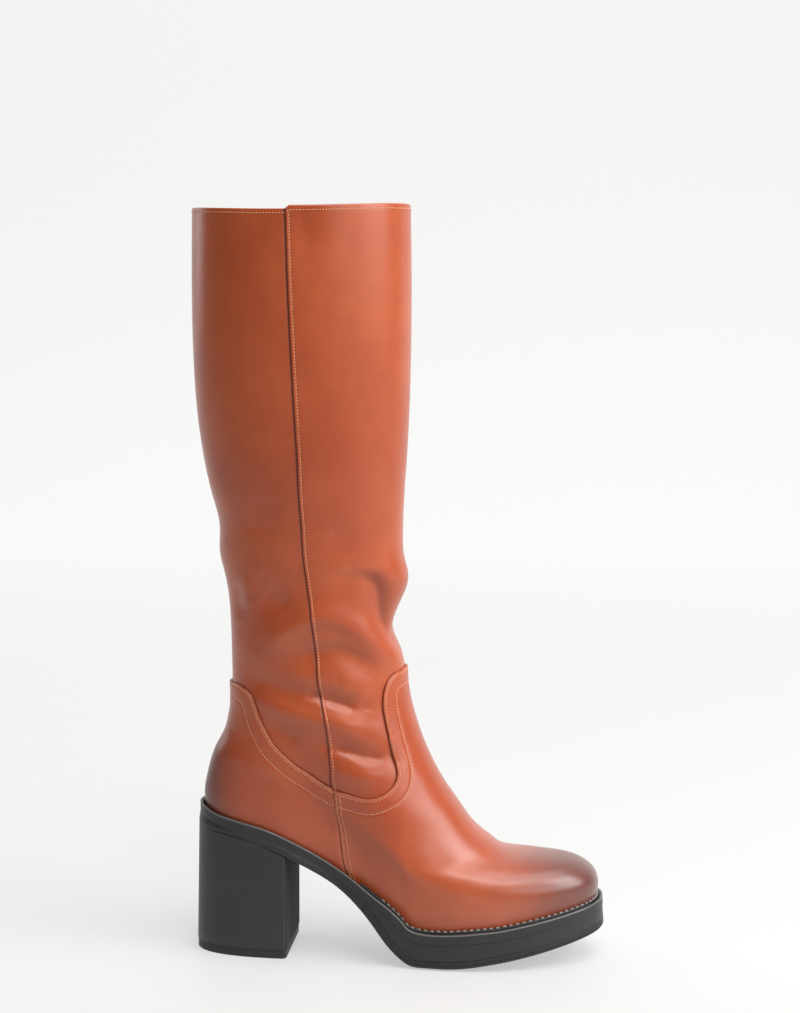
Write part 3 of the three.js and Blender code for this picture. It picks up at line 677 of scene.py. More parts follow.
def on_form(x, z):
    """Angle and level of the points of the outer side seen at x and z, by Newton's steps in the share forward
    and the level from the nearest of a coarse grid."""
    share, level = np.meshgrid(np.linspace(0.01, 0.99, 60), np.linspace(0, 20, 121), indexing="ij")
    share, level = share.ravel(), level.ravel()

    def at(s, l):
        return form_point(np.degrees(np.arccos(1 - 2 * np.clip(s, 0, 1))), l)[..., [0, 2]]

    grid = at(share, level)
    target = np.stack([x, z], -1)
    near = np.argmin(((grid[None] - target[:, None]) ** 2).sum(-1), 1)
    s, l = share[near], level[near]
    for _ in range(12):
        miss = target - at(s, l)
        ds = (at(s + 1e-4, l) - at(s - 1e-4, l)) / 2e-4
        dl = (at(s, l + 1e-3) - at(s, l - 1e-3)) / 2e-3
        area = ds[:, 0] * dl[:, 1] - ds[:, 1] * dl[:, 0]
        s = s + np.clip((miss[:, 0] * dl[:, 1] - miss[:, 1] * dl[:, 0]) / area, -0.05, 0.05)
        l = l + np.clip((ds[:, 0] * miss[:, 1] - ds[:, 1] * miss[:, 0]) / area, -0.5, 0.5)
        s, l = np.clip(s, 1e-3, 1 - 1e-3), np.clip(l, 0, 20)
    return np.degrees(np.arccos(1 - 2 * s)), l


seam_x, seam_z = side_view(FOOT_SEAM)
seam_level = np.linspace(0, 8, 60)
low_angle, high_angle = np.full(60, 30.0), np.full(60, 150.0)
for _ in range(40):
    middle = (low_angle + high_angle) / 2
    seen = form_point(middle, seam_level)
    behind = seen[:, 0] < np.interp(seen[:, 2], seam_z, seam_x)
    low_angle, high_angle = np.where(behind, middle, low_angle), np.where(behind, high_angle, middle)


def seam_angle(level):
    """Angle of the seam between vamp and counter at a level, upright above its top."""
    return np.interp(level, seam_level, low_angle)


def even_share(angle):
    """A column's share of the way from back to toe, before the seam's shift."""
    return (1 - np.cos(np.radians(angle))) / 2


def angle_of(share):
    """The outer side's angle at such a share."""
    return np.degrees(np.arccos(1 - 2 * np.clip(share, 0, 1)))


def along_line(points):
    """Distance along a line of points, from its start."""
    return np.concatenate([[0], np.cumsum(np.linalg.norm(np.diff(points, axis=0), axis=-1))])


def overlay_grid(edge, end, across, down):
    """Angles and levels of half an overlay. Its first columns run beside the foot seam at set distances. The
    others lead from points evenly along the top edge to points evenly along the feather edge, as straight
    lines in share and level. Rows lie at set distances from the top edge, then evenly down to the feather
    edge. Also gives each point's distances to the top edge and to the seam."""
    x, z = side_view(edge)
    ends = form_point(float(end), np.linspace(10, 20, 200))
    limit = np.interp(z, ends[:, 2], ends[:, 0])
    inside = (x < limit) if end == 180 else (x > limit)
    inside |= z < ends[0, 2]
    angle, level = on_form(x[inside], z[inside])
    last = level[-1] + (level[-1] - level[-8]) * 0.2
    angle, level = np.append(angle, float(end)), np.append(level, last)
    line = form_point(angle, level)
    sense = 1 if end == 180 else -1

    near = EDGE_STEPS[EDGE_STEPS < 0.0062]
    tall = np.linspace(0, 20, 500)
    start = seam_angle(tall)
    wide = form_point(start + 1, tall)[..., :2] - form_point(start - 1, tall)[..., :2]
    per_degree = np.linalg.norm(wide, axis=-1) / 2
    close = start[None] + sense * near[:, None] / per_degree[None]
    first = even_share(close[-1])
    finish = even_share(float(end))

    reach = along_line(line)
    edge_share = (even_share(angle) - np.interp(level, tall, first)) / (finish - np.interp(level, tall, first))
    begin = int(np.argmax(edge_share > 0))
    far = np.linspace(0, 1, across - len(near) + 1)[1:]
    where = mix(reach[begin], reach[-1], far)
    top_share, top_level = np.interp(where, reach, edge_share), np.interp(where, reach, level)
    foot = form_point(angle_of(mix(first[0], finish, np.linspace(0, 1, 400))), 0.0)
    foot_reach = along_line(foot)
    foot_share = np.interp(far * foot_reach[-1], foot_reach, np.linspace(0, 1, 400))
    part = tall[None] / top_level[:, None]
    lean = np.clip(foot_share[:, None] + (top_share - foot_share)[:, None] * part, 0, 1)
    rest = angle_of(mix(first[None], finish, lean))
    path = np.concatenate([close, rest])

    crossing = []
    for column in close:
        beyond = (angle - np.interp(level, tall, column)) * sense
        hit = max(int(np.argmax(beyond > 0)), 1)
        share = beyond[hit - 1] / (beyond[hit - 1] - beyond[hit] + 1e-12)
        crossing.append(mix(level[hit - 1], level[hit], np.clip(share, 0, 1)))
    top = np.concatenate([crossing, top_level])

    fine = 1 - np.linspace(0, 1, 260) ** 1.6
    try_level = top[:, None] * fine[None, :]
    try_angle = np.array([np.interp(t, tall, p) for t, p in zip(try_level, path)])
    tried = form_point(try_angle, try_level)
    gap = np.array([np.sqrt(((row[:, None] - line[None]) ** 2).sum(-1).min(1)) for row in tried])
    gap = np.maximum.accumulate(gap, 1) + np.arange(260) * 1e-9
    steps = np.minimum(EDGE_STEPS[None], gap[:, -1:] * EDGE_STEPS[None] / EDGE_STEPS[-1])
    rows_level = np.array([np.interp(d, g, t) for d, g, t in zip(steps, gap, try_level)])
    more = np.linspace(0, 1, down - len(EDGE_STEPS) + 1)[1:]
    rows_level = np.concatenate([rows_level, rows_level[:, -1:] * (1 - more)], 1)
    rows_angle = np.array([np.interp(t, tall, p) for t, p in zip(rows_level, path)])
    from_top = np.array([np.interp(-t, -u, g) for t, u, g in zip(rows_level, try_level, gap)])
    place = form_point(rows_angle, rows_level)
    seam_at = form_point(seam_angle(rows_level), rows_level)
    return rows_angle, rows_level, from_top, np.linalg.norm(place - seam_at, axis=-1)


def rounded(distance, radius=0.0009):
    """A folded edge's height as a share of its thickness: a quarter circle, then level."""
    t = np.clip(distance / radius, 0, 1)
    return np.sqrt(1 - (1 - t) ** 2)


def dent(distance, row, width=0.0005):
    """The dip that a row of stitches pulls into the leather, as a bell across the row."""
    return np.exp(-((distance - row) / width) ** 2)


def both_sides(half):
    """A half's columns from the outer seam to the middle, then mirrored to the inner seam."""
    return np.concatenate([half, half[-2::-1]])


def overlay_piece(name, grid, lift, height):
    """A sheet over the upper: its outer face at the given height over a lift, its inner face at the lift."""
    angle, level = grid[0], grid[1]
    mirrored = np.concatenate([angle, 360 - angle[-2::-1]])
    level = both_sides(level)
    outer = surface(mirrored, level, lift(level) + both_sides(height))
    inner = surface(mirrored, level, lift(level))
    points = np.concatenate([outer, inner[:, ::-1]], 1)
    faces = grid_faces(*points.shape[:2], wrap_columns=True)
    runs_back = angle[0, 0] > angle[-1, 0]
    made = mesh_piece(name, points.reshape(-1, 3), faces[:, ::-1] if runs_back else faces)
    return made, mirrored, level, outer


def vamp_lift(level):
    return lap(level) + GAP


vamp_grid = overlay_grid(VAMP_EDGE, 180, 150, 100)
from_top, from_seam = vamp_grid[2], vamp_grid[3]
nearest = np.minimum(from_top, from_seam)
rows_dent = (
    0.00022 * dent(from_top, FIRST_ROW) + 0.00026 * dent(from_top, SECOND_ROW, 0.0009)
    + 0.00018 * dent(from_seam, FIRST_ROW) + 0.00018 * dent(from_seam, SEAM_ROW)
)
vamp_height = OVERLAY_WALL * rounded(nearest) - rows_dent * (nearest > 0.0003)
vamp_height = vamp_height + 0.0003 * (1 - smoothstep(from_seam, 0.004, 0.012)) * rounded(nearest)
vamp, vamp_angle, vamp_level, vamp_outer = overlay_piece("vamp_leather", vamp_grid, vamp_lift, vamp_height)
# A dark line at the raw edge, partly the leather's dark edge paint and partly a painted shadow, and a painted
# highlight just inside it where the folded edge catches the light.
painted_edge_shade_and_highlight = both_sides(0.95 * np.exp(-((nearest / 0.00022) ** 2)) - 0.4 * dent(nearest, 0.0008, 0.0004))
shade(vamp, np.concatenate([painted_edge_shade_and_highlight, 0 * painted_edge_shade_and_highlight], 1))
vamp.data.materials.append(tan_leather)
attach(vamp, "root")
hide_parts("vamp")


# Counter: the leather around the heel, up to a soft point at the back. Its front edges go under the vamp.
COUNTER_EDGE = np.array([
    [0.249, 0.0535], [0.245, 0.0555], [0.219, 0.064], [0.186, 0.0775], [0.152, 0.091], [0.127, 0.1045],
    [0.1015, 0.1205], [0.081, 0.14], [0.0635, 0.162], [0.0515, 0.184], [0.0395, 0.2015], [0.0235, 0.2125],
    [0.0, 0.2185], [-0.03, 0.218], [-0.08, 0.212],
])


def counter_lift(level):
    return np.full_like(level, GAP)


counter_grid = overlay_grid(COUNTER_EDGE, 0, 110, 90)
from_top, from_seam = counter_grid[2], counter_grid[3]
nearest = np.minimum(from_top, from_seam)
rows_dent = 0.00022 * dent(from_top, FIRST_ROW) + 0.00026 * dent(from_top, SECOND_ROW, 0.0009)
counter_height = OVERLAY_WALL * rounded(nearest) - rows_dent * (nearest > 0.0003)
counter_height = counter_height - 0.0005 * (1 - smoothstep(from_seam, 0.0005, 0.004)) * rounded(nearest)
counter, counter_angle, counter_level, counter_outer = overlay_piece(
    "counter_leather", counter_grid, counter_lift, counter_height
)
# A dark line at the raw edge, partly the leather's dark edge paint and partly a painted shadow, and a painted
# highlight just inside it where the folded edge catches the light.
painted_edge_shade_and_highlight = both_sides(0.95 * np.exp(-((nearest / 0.00022) ** 2)) - 0.4 * dent(nearest, 0.0008, 0.0004))
shade(counter, np.concatenate([painted_edge_shade_and_highlight, 0 * painted_edge_shade_and_highlight], 1))
counter.data.materials.append(tan_leather)
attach(counter, "root")
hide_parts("counter")


# Upper stitching: fine tan thread in rows beside the side seams, under the collar and along the overlays.
# Each stitch is a short round arc whose ends go down into the leather.
STITCH_PITCH = 0.0019
STITCH_LENGTH = 0.00128
STITCH_THICK = 0.00032


def stitch_row(points, normals, pitch, length, thick, high):
    """Stitches evenly along a line on a surface: rings of six points around an arc, with a point at each end.
    Returns the points of all stitches, one block of rings for each."""
    along = along_line(points)
    middle = np.arange(pitch / 2, along[-1], pitch)

    def at(where, values):
        return np.stack([np.interp(where, along, values[:, i]) for i in range(3)], -1)

    shares = np.array([-1.0, -0.85, -0.4, 0.4, 0.85, 1.0])
    rings = []
    for share in shares:
        centre = at(middle + share * length / 2, points)
        out = at(middle, normals)
        ahead = at(middle + pitch / 2, points) - at(middle - pitch / 2, points)
        ahead /= np.maximum(np.linalg.norm(ahead, axis=-1, keepdims=True), 1e-9)
        side = np.cross(ahead, out)
        lift = high * (1 - share**2) - 0.5 * thick
        width = thick * math.sqrt(max(1 - share**4, 0)) + 1e-6
        for turn in np.radians(np.arange(0, 360, 60)):
            rings.append(centre + out * (lift + width * math.cos(turn)) + side * width * math.sin(turn))
    return np.stack(rings, 1)


def stitch_faces(count):
    """Faces of a number of stitches, each a tube of six rings of six points."""
    one = grid_faces(6, 6, wrap_columns=True)
    return (one[None] + 36 * np.arange(count)[:, None, None]).reshape(-1, 4)


def stitching(name, lines, pitch, length, thick, high, finish):
    """One piece with all stitches of some lines, each given as its points and the directions out."""
    blocks = np.concatenate([stitch_row(p, n, pitch, length, thick, high) for p, n in lines])
    made = mesh_piece(name, blocks.reshape(-1, 3), stitch_faces(len(blocks)))
    made.data.materials.append(finish)
    return made


def thread_finish(name, light, dark):
    """Thread: a fine mottle of noise in two tones."""
    material, shader, wire = finish_of(name, light, Roughness=0.6)
    place = wire.node("TexCoord", output=3)
    fibre = wire.node("TexNoise", (), {"Vector": place, "Scale": 2500.0, "Detail": 2.0})
    join(fibre.smooth(0.35, 0.7).tint(light, dark), shader, "Base Color")
    return material


tan_thread = thread_finish("tan_thread", (0.78, 0.4, 0.22, 1), (0.6, 0.26, 0.12, 1))


def line_on(angle, level, out):
    """A line on the boot at a distance out, with the directions out."""
    return surface(angle, level, out), form_normal(*np.broadcast_arrays(angle, level))


side_rows = []
for middle in (90, 270):
    lift_level = np.linspace(7.5, TOP - 0.05, 400)
    beside = middle + (1 if middle == 90 else -1) * math.degrees(0.001 / (COLLAR_LENGTH / 2))
    side_rows.append(line_on(np.full(400, beside), lift_level, lap(lift_level) * 0.78))
collar_around = np.linspace(0.5, 359.5, 500)
collar_level = np.full(500, TOP - 0.045)
collar_out = np.where(np.abs(collar_around - 180) < 91, SEAM_LAP, 0.0)
collar_line = surface(collar_around, collar_level, collar_out)
collar_line = raise_front(collar_line, collar_around, collar_level)
side_rows.append((collar_line, form_normal(collar_around, collar_level)))


def overlay_rows(angle, level, outer, from_top, from_seam, seam_rows):
    """Stitch lines of an overlay: its rows at the set distances from the top edge, and its columns at those
    from the foot seam."""
    normals = form_normal(angle, level)
    lines = []
    for row in (FIRST_ROW, SECOND_ROW):
        k = int(np.argmin(np.abs(EDGE_STEPS - row)))
        clear = both_sides(from_seam[:, k] > (FIRST_ROW if seam_rows else 0.0004))
        lines.append((outer[clear, k], normals[clear, k]))
    columns_near = EDGE_STEPS[EDGE_STEPS < 0.0062]
    for distance in seam_rows:
        j = int(np.argmin(np.abs(columns_near - distance)))
        for column in (j, len(outer) - 1 - j):
            clear = from_top[j] > FIRST_ROW
            lines.append((outer[column, clear], normals[column, clear]))
    return lines


vamp_rows = overlay_rows(vamp_angle, vamp_level, vamp_outer, vamp_grid[2], vamp_grid[3], (FIRST_ROW, SEAM_ROW))
counter_rows = overlay_rows(counter_angle, counter_level, counter_outer, counter_grid[2], counter_grid[3], ())
thread_size = (STITCH_PITCH, STITCH_LENGTH, STITCH_THICK, 0.00026, tan_thread)
for name, lines in (("shaft", side_rows), ("vamp", vamp_rows), ("counter", counter_rows)):
    sewn = stitching(name + "_stitching", lines, *thread_size)
    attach(sewn, "root")


# Sole unit: one moulding of matt black rubber with the wearer's foot in a tray. Its rim stands up around the
# upper, with a fine moulded line under it; the block heel and the tread are separate mouldings below.
RIM_WIDTH = 0.0022
WELT_WIDTH = 0.0036
WELT_RISE = 0.0012
BEAD_DROP = 0.0062
BEAD_DEPTH = 0.00032
OUTSOLE_THICKNESS = 0.0054
TREAD_EDGE_WIDTH = 0.0055
TREAD_EDGE_RISE = 0.0024
RIM_CLEARANCE = 0.001
WALL_FLARE = 0.0008
TREAD_START = 0.076
OVERLAY_FACE = GAP + OVERLAY_WALL
RIB_PITCH = 0.0045
RIB_DEPTH = 0.0006
WIDE_MARGIN = OVERLAY_FACE + GAP + WELT_WIDTH + GAP + RIM_WIDTH
NARROW_MARGIN = OVERLAY_FACE + RIM_CLEARANCE + RIM_WIDTH
WIDENS_FROM, WIDENS_TO, WELT_FROM = 0.25, 0.5, 0.42


run = np.linspace(-0.2, 0.4, 2401)
flat = np.maximum(rim_z(run) - PLATFORM_HEIGHT * sole_line["thick"](run / LAST_LENGTH), 0)
rounded_runs = []
for width in (0.0035, 0.009):
    bell = np.exp(-((np.arange(-0.03, 0.03001, run[1] - run[0]) / width) ** 2) / 2)
    rounded_runs.append(np.convolve(flat, bell / bell.sum(), "same"))


def under_z(x):
    """Height of the sole's underside: never below the ground, and averaged along the foot under a bell, which
    rounds the ends of the flat spot, the front one more."""
    rear, front = (np.interp(x, run, part) for part in rounded_runs)
    return mix(rear, front, smoothstep(x, 0.112, 0.132))


def margin(angle):
    """How far the sole stands out from the feather edge: narrow around the heel, wide along the welt."""
    share = (form_point(angle, 0.0)[..., 0] - seat_x) / (toe_x - seat_x)
    return mix(NARROW_MARGIN, WIDE_MARGIN, smoothstep(share, WIDENS_FROM, WIDENS_TO))


def foot_point(angle, out, rise=0.0):
    """A point moved out from the feather edge on the level, and up."""
    p = form_point(angle, 0.0) + form_normal(angle, 0.0) * np.broadcast_to(out, np.shape(angle))[..., None]
    p[..., 2] += rise
    return p


def sole_point(angle, inset, height):
    """A point inside the sole's edge by an inset, at a height given along the foot."""
    p = foot_point(angle, margin(angle) - inset)
    p[..., 2] = height(p[..., 0])
    return p


def even_angles(count, first=0.0):
    """Angles of one side, evenly spaced along the sole's edge."""
    fine = np.linspace(first, 180, 3000)
    p = foot_point(fine, margin(fine))
    along = along_line(p)
    return np.interp(np.linspace(0, along[-1], count), along, fine), along[-1]


dense = np.linspace(TREAD_START, LAST_LENGTH, 600)
slope = (under_z(dense + 0.001) - under_z(dense - 0.001)) / 0.002
long = np.hypot(1, slope)
part_x = dense - slope / long * OUTSOLE_THICKNESS
part_z = under_z(dense) + OUTSOLE_THICKNESS / long
part_x = np.concatenate([[TREAD_START - 0.02, TREAD_START], part_x])
part_z = np.concatenate([[0, under_z(TREAD_START)], part_z])


def tread_top(x):
    """Height of the parting between midsole and tread: the underside moved in by the tread's thickness."""
    return np.interp(x, part_x, part_z)


def wall_inset(x, z):
    """How far the side leans: out by the flare above the lower edge, and upright under the moulded line."""
    low = under_z(x) + TREAD_EDGE_RISE
    high = rim_z(x) - BEAD_DROP - BEAD_DEPTH
    return mix(-WALL_FLARE, -0.2 * BEAD_DEPTH, np.clip((z - low) / np.maximum(high - low, 0.001), 0, 1))


def wall_point(angle, height, extra=0.0):
    """A point of the sole's side at a height given along the foot."""
    rough = foot_point(angle, margin(angle))[..., 0]
    return sole_point(angle, wall_inset(rough, height(rough)) + extra, height)


def loft(name, outer, inner, top=3, bottom=3):
    """A body from the back to the toe. outer and inner hold the rows of both sides, from low to high, for
    each section; the rows' ends are joined across by evenly spaced points."""
    def across(a, b, count):
        t = np.linspace(0, 1, count + 2)[1:-1][None, :, None]
        return a[:, None] * (1 - t) + b[:, None] * t

    loop = np.concatenate([outer, across(outer[:, -1], inner[:, -1], top), inner[:, ::-1],
                           across(inner[:, 0], outer[:, 0], bottom)], 1)
    count, size = loop.shape[:2]
    return mesh_piece(name, loop.reshape(-1, 3), grid_faces(count, size, wrap_columns=True))


def outward(piece):
    """Merges a body's poles, closes its open ends and turns its faces outwards."""
    import bmesh
    work = bmesh.new()
    work.from_mesh(piece.data)
    bmesh.ops.remove_doubles(work, verts=work.verts, dist=1e-6)
    bmesh.ops.dissolve_degenerate(work, edges=work.edges, dist=1e-7)
    bmesh.ops.holes_fill(work, edges=work.edges, sides=0)
    bmesh.ops.recalc_face_normals(work, faces=work.faces)
    work.to_mesh(piece.data)
    work.free()
    return piece


def creased(piece, degrees=35):
    """Keeps edges sharper than an angle crisp in the smooth shading."""
    piece.data.set_sharp_from_angle(angle=math.radians(degrees))


def rubber_finish(name, base, rough, grain, rib=0.0):
    """Moulded rubber: a nearly even black with dust in broad patches, a fine spark-eroded grain, and where
    the face looks down, shallow ribs in the shape of arrows, rounded like a sine wave cut off flat."""
    material, shader, wire = finish_of(name, (*base, 1), Roughness=rough)
    place = wire.node("TexCoord", output=3)
    dust = wire.node("TexNoise", (), {"Vector": place, "Scale": 45.0, "Detail": 5.0, "Roughness": 0.65})
    lighter = tuple(1.35 * c for c in base)
    # A stored mark: where positive it only makes the rubber matt; where negative, a painted highlight makes it
    # lighter and glossier.
    mark = wire.node("Attribute", {"attribute_name": "shade"}, output=2)
    matt, painted_rim_highlight = mark.math("MAXIMUM", mark, 0.0), mark.math("MAXIMUM", mark * -1.0, 0.0)
    colour = dust.smooth(0.4, 0.8).tint((*base, 1), (*lighter, 1))
    join(painted_rim_highlight.tint(colour, (0.16, 0.155, 0.15, 1)), shader, "Base Color")
    join(dust * 0.16 + (rough - 0.08) + matt * 0.5 - painted_rim_highlight * 0.2, shader, "Roughness")
    speck = wire.node("TexNoise", (), {"Vector": place, "Scale": 2200.0, "Detail": 2.0})
    rough_face = wire.node("Bump", (), {"Strength": grain, "Distance": 0.0001, "Height": speck})
    if rib:
        aside = place.axis("Y").math("ABSOLUTE", place.axis("Y"))
        wave = (place.axis("X") + aside * 0.6) * (2 * math.pi / RIB_PITCH)
        step = wave.math("SINE", wave).smooth(-0.35, 0.35)
        down = 1 - wire.node("TexCoord", output=1).axis("Z").smooth(-0.97, -0.9)
        ribs = {"Strength": 1.0, "Distance": rib, "Height": step * down, "Normal": rough_face}
        rough_face = wire.node("Bump", (), ribs)
    join(rough_face, shader, "Normal")
    return material


sole_rubber = rubber_finish("sole_rubber", (0.02, 0.02, 0.0195), 0.47, 0.25)
tread_rubber = rubber_finish("tread_rubber", (0.016, 0.016, 0.0155), 0.58, 0.35, RIB_DEPTH)

angles, _ = even_angles(330)


def midsole_low(x):
    """The midsole's lower edge: the underside, or just over the tread where there is one."""
    return np.where(x > TREAD_START, np.maximum(tread_top(x) + 0.00015, under_z(x)), under_z(x))


def side_rows_of(side):
    """Rows of one side, from the lower edge up the wall, over the moulded line and the rim, and down inside."""
    turned = angles if side < 0 else 360 - angles
    turned = np.where(turned == 360, 0, turned)
    out = []
    for inset in (0.0006, 0.00018):
        out.append(wall_point(turned, midsole_low, inset))
    for rise in (0.00012, 0.0005):
        out.append(wall_point(turned, lambda x, r=rise: midsole_low(x) + r, 0.0))
    for share in np.linspace(0, 1, 10)[1:]:
        out.append(wall_point(
            turned, lambda x, s=share: mix(midsole_low(x) + 0.0005, rim_z(x) - BEAD_DROP - BEAD_DEPTH, s)
        ))
    section = [
        (-0.2, BEAD_DROP + 0.00022), (0.15, BEAD_DROP + 0.0001), (0.15, BEAD_DROP - 0.00006),
        (-0.9, BEAD_DROP - 0.00025), (-1.0, BEAD_DROP - 0.0010), (-0.6, 0.0030), (-0.4, 0.0016), (-0.3, 0.0012),
    ]
    for inset, drop in section:
        bead = BEAD_DEPTH * smoothstep(sole_point(turned, 0, rim_z)[:, 0], 0.03, 0.1)
        out.append(sole_point(turned, inset * bead, lambda x, d=drop: rim_z(x) - d))
    for t in np.radians(np.linspace(0, 90, 6)):
        inset = RIM_WIDTH * 0.45 * (1 - math.cos(t)) - 0.0001
        out.append(sole_point(turned, inset, lambda x, d=0.0009 * (1 - math.sin(t)): rim_z(x) - d))
    for t in np.radians(np.linspace(20, 90, 4)):
        inset = RIM_WIDTH * (0.7 + 0.3 * math.sin(t))
        out.append(sole_point(turned, inset, lambda x, d=0.0009 * (1 - math.cos(t)): rim_z(x) - d))
    out.append(foot_point(turned, margin(turned) - RIM_WIDTH, -GAP))
    out.append(foot_point(turned, margin(turned) * 0.5, -GAP))
    return np.stack(out, 1)


midsole = loft("midsole_body", side_rows_of(-1), side_rows_of(1), top=6, bottom=12)
outward(midsole)
creased(midsole)
# Painted highlight: a lighter, glossier band along the rim's rounded top edge, where it catches the light.
rim_drop = np.array([rim_z(v.co.x) - v.co.z for v in midsole.data.vertices])
shade(midsole, -0.9 * np.exp(-(((rim_drop - 0.0004) / 0.0004) ** 2)))
midsole.data.materials.append(sole_rubber)
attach(midsole, "root")
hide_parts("midsole")


# Outsole: the tread layer under forefoot and waist, with fine teeth moulded along its lower edge and shallow
# ribs across its face.
TOOTH_PITCH = 0.0015
TOOTH_DEPTH = 0.00035
fine_angles = np.linspace(0, 180, 4000)
first_angle = fine_angles[np.argmax(wall_point(fine_angles, under_z)[:, 0] > TREAD_START + 0.0002)]
tread_angles, tread_long = even_angles(760, first_angle)
tooth = 0.5 + 0.5 * np.tanh(3 * np.sin(np.linspace(0, tread_long, 760) * 2 * np.pi / TOOTH_PITCH))
tread_x = wall_point(tread_angles, under_z)[:, 0]
toothed = smoothstep(tread_x, 0.09, 0.1)
rounding = mix(0.12, 1.0, smoothstep(tread_x, TREAD_START, TREAD_START + 0.03))


def tread_rows(side):
    """Rows of one side, from inside the underside around the toothed lower edge up to the parting."""
    turned = tread_angles if side < 0 else 360 - tread_angles
    cut = tooth * toothed * TOOTH_DEPTH
    width, height = TREAD_EDGE_WIDTH * rounding, TREAD_EDGE_RISE * rounding
    out = [wall_point(turned, under_z, TREAD_EDGE_WIDTH + 0.002)]
    for t in np.radians(np.linspace(0, 90, 7)):
        inset = width * (1 - math.sin(t))
        rise = height * (1 - math.cos(t))
        near_edge = math.sin(t) ** 2
        out.append(wall_point(
            turned, lambda x, r=rise: np.minimum(under_z(x) + r, tread_top(x)), inset + cut * near_edge
        ))
    for share, keep in ((0.15, 1.0), (0.3, 1.0), (0.34, 0.0), (0.6, 0.0), (0.85, 0.0), (0.93, 0.0)):
        out.append(wall_point(
            turned, lambda x, s=share: mix(np.minimum(under_z(x) + height, tread_top(x)), tread_top(x), s),
            cut * keep,
        ))
    out.append(wall_point(turned, tread_top, 0.0001))
    out.append(wall_point(turned, tread_top, 0.0006))
    return np.stack(out, 1)


outsole = loft("tread_layer", tread_rows(-1), tread_rows(1), top=2, bottom=9)
outward(outsole)
creased(outsole)
outsole.data.materials.append(tread_rubber)
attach(outsole, "root")
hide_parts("outsole")


# Welt: a strip of the same rubber around the forefoot between the rim and the vamp, sewn through with thick
# grey thread that lies in a groove.
fine_share = (form_point(fine_angles, 0.0)[:, 0] - seat_x) / (toe_x - seat_x)
welt_angles, welt_long = even_angles(300, fine_angles[np.argmax(fine_share > WELT_FROM)])
welt_around = np.concatenate([welt_angles, 360 - welt_angles[-2::-1]])


def welt_sections():
    """Sections of the strip from its outer foot over a bevel, across the grooved top and down to its inner
    foot."""
    a = welt_around
    low = surface(a, 0.0, OVERLAY_FACE + GAP / 2)
    high = surface(a, 1.0, OVERLAY_FACE + GAP / 2)
    top = rim_z(low[:, 0]) + WELT_RISE
    inner = mix(low, high, ((top - low[:, 2]) / (high[:, 2] - low[:, 2]))[:, None])
    outer = sole_point(a, RIM_WIDTH + GAP / 2, rim_z)
    section = [foot_point(a, margin(a) - RIM_WIDTH - GAP / 2)]
    for share, drop in (
        (0.0, 0.0008), (0.02, 0.0005), (0.08, 0.0002), (0.18, 0.0), (0.3, -0.00005), (0.38, 0.0002),
        (0.46, 0.00045), (0.58, 0.00045), (0.66, 0.0002), (0.74, 0.0), (0.9, 0.0), (1.0, 0.0),
    ):
        p = mix(outer, inner, share)
        p[:, 2] = rim_z(p[:, 0]) + WELT_RISE - drop
        section.append(p)
    section.append(foot_point(a, np.full_like(a, OVERLAY_FACE + GAP / 2)))
    return np.stack(section, 1), mix(outer, inner, 0.52)


welt_points, welt_line = welt_sections()
welt = mesh_piece(
    "welt_strip", welt_points.reshape(-1, 3), grid_faces(*welt_points.shape[:2], wrap_columns=True)
)
outward(welt)
creased(welt, 50)
welt_rubber = rubber_finish("welt_rubber", (0.014, 0.013, 0.0125), 0.55, 0.2)
welt.data.materials.append(welt_rubber)
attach(welt, "root")
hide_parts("welt")

welt_line[:, 2] = rim_z(welt_line[:, 0]) + WELT_RISE - 0.0002
sewn_from = welt_line[:, 0] > 0.088
upward = np.tile([0.0, 0.0, 1.0], (int(sewn_from.sum()), 1))
grey_thread = thread_finish("grey_thread", (0.34, 0.31, 0.29, 1), (0.16, 0.14, 0.13, 1))
welt_sewn = stitching(
    "welt_stitching", [(welt_line[sewn_from], upward)], 0.004, 0.0029, 0.00075, 0.0007, grey_thread
)
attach(welt_sewn, "root")


# Heel: a moulded block with a straight breast and rounded back, drawn in a little to the ground, and the
# thin lift under it.
HEEL_LENGTH = 0.060
HEEL_TAPER = 0.0016
HEEL_CORNER = 0.0025
TOP_PIECE_THICKNESS = 0.0055
breast_x = HEEL_LENGTH / 2
heel_fine = np.linspace(0, 120, 6000)
heel_edge = sole_point(heel_fine, -WALL_FLARE, under_z)
heel_turn = heel_fine[np.argmax(heel_edge[:, 0] > breast_x - HEEL_CORNER)]


def heel_outline():
    """Plan of the block: the sole's own edge around the back, a quarter circle at each front corner, and the
    straight breast."""
    sides = []
    for outer in (True, False):
        turned = np.linspace(0, heel_turn, 90)
        arc = sole_point(turned if outer else (360 - turned) % 360, -WALL_FLARE, under_z)[:, :2]
        t = np.radians(np.linspace(0, 90, 10)[1:])
        sign = np.sign(arc[-1, 1])
        corner = np.stack([
            breast_x - HEEL_CORNER * (1 - np.sin(t)),
            arc[-1, 1] - sign * HEEL_CORNER * (1 - np.cos(t)),
        ], -1)
        sides.append(np.concatenate([arc, corner]))
    breast = np.linspace(sides[0][-1], sides[1][-1], 12)[1:-1]
    return np.concatenate([sides[0], breast, sides[1][:0:-1]])


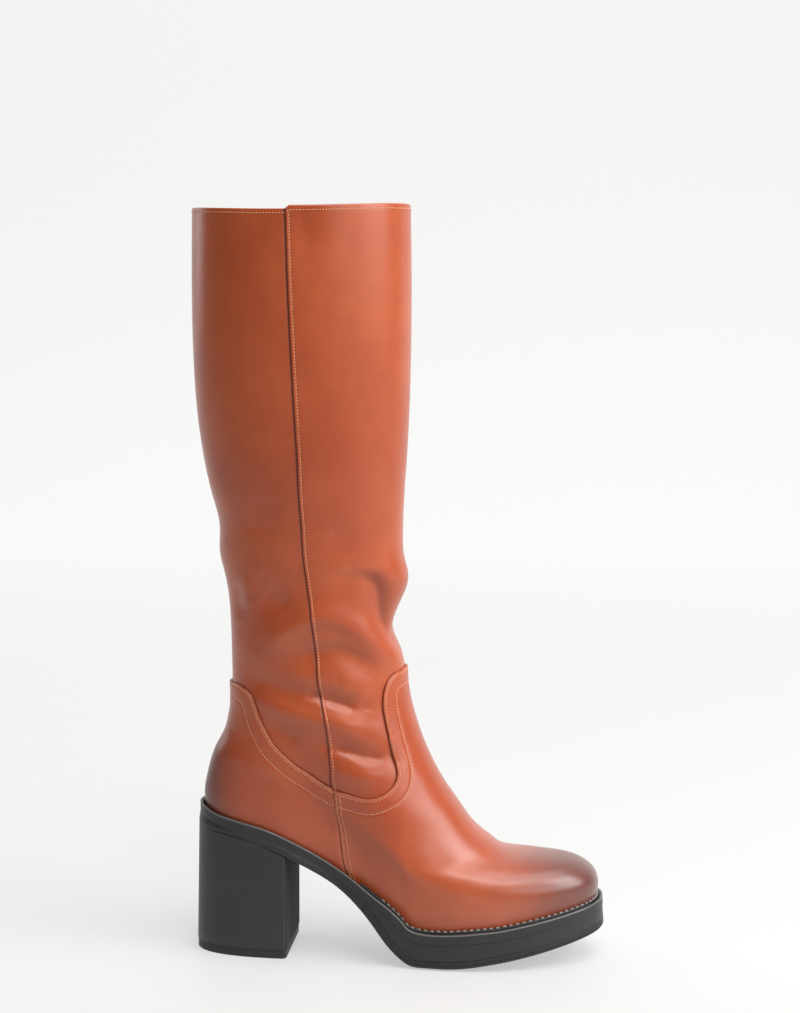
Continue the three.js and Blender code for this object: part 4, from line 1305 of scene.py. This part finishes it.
def heel_ring(height, inset=0.0):
    """The outline at a height given along the foot, drawn in towards the ground and set in by an inset."""
    plan = heel_outline()
    half = plan[:, 1].max()
    z = height(plan[:, 0])
    down = 1 - z / under_z(plan[:, 0])
    reach = mix(1, HEEL_LENGTH / (breast_x - plan[:, 0].min()), down)
    draw = mix(1, 1 - HEEL_TAPER / half, down)
    x = breast_x - (breast_x - plan[:, 0]) * reach
    y = plan[:, 1] * draw
    shrink_x = 1 - inset / (HEEL_LENGTH / 2)
    shrink_y = 1 - inset / half
    return np.stack([x * shrink_x, y * shrink_y, z], -1)


def block(name, rings, finish, node):
    """A block from rings, closed by one face at each end."""
    stack = np.stack(rings)
    made = mesh_piece(name, stack.reshape(-1, 3), grid_faces(*stack.shape[:2], wrap_columns=True))
    outward(made)
    creased(made, 40)
    made.data.materials.append(finish)
    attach(made, "root")
    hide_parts(node)
    return made


def heel_top(x):
    return under_z(x) - 0.0002


heel_rings = [heel_ring(lambda x: np.full_like(x, TOP_PIECE_THICKNESS + 0.00004), 0.0002)]
heel_rings += [
    heel_ring(lambda x, s=share: mix(TOP_PIECE_THICKNESS + 0.0003, heel_top(x) - 0.0004, s))
    for share in np.linspace(0, 1, 12)
]
heel_rings += [heel_ring(heel_top, 0.0004)]
heel_block = block("heel_block", heel_rings, sole_rubber, "heel")
shade(heel_block, [1.0 if v.co.x > breast_x - 0.0006 else 0.0 for v in heel_block.data.vertices])
piece_rings = [
    heel_ring(lambda x: np.full_like(x, 0.0), 0.0009),
    heel_ring(lambda x: np.full_like(x, 0.0005), 0.0004),
    heel_ring(lambda x: np.full_like(x, 0.003), 0.0004),
    heel_ring(lambda x: np.full_like(x, TOP_PIECE_THICKNESS - 0.0001), 0.0004),
    heel_ring(lambda x: np.full_like(x, TOP_PIECE_THICKNESS - 0.00004), 0.0006),
]
block("heel_lift", piece_rings, tread_rubber, "top_piece")


# Sock: the pale leather footbed over the insole board, seen only from above.
INSOLE_THICKNESS = 0.003
sock_angles, _ = even_angles(160)
sock_rows = []
for side in (-1, 1):
    turned = sock_angles if side < 0 else (360 - sock_angles) % 360
    sock_rows.append(np.stack([
        foot_point(turned, np.full_like(turned, -0.0027), 0.0),
        foot_point(turned, np.full_like(turned, -0.0027), INSOLE_THICKNESS - 0.0006),
        foot_point(turned, np.full_like(turned, -0.0033), INSOLE_THICKNESS),
    ], 1))
sock = loft("sock", sock_rows[0], sock_rows[1], top=12, bottom=2)
outward(sock)
creased(sock, 50)
sock.data.materials.append(lining_finish)
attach(sock, "root")
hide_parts("insole")
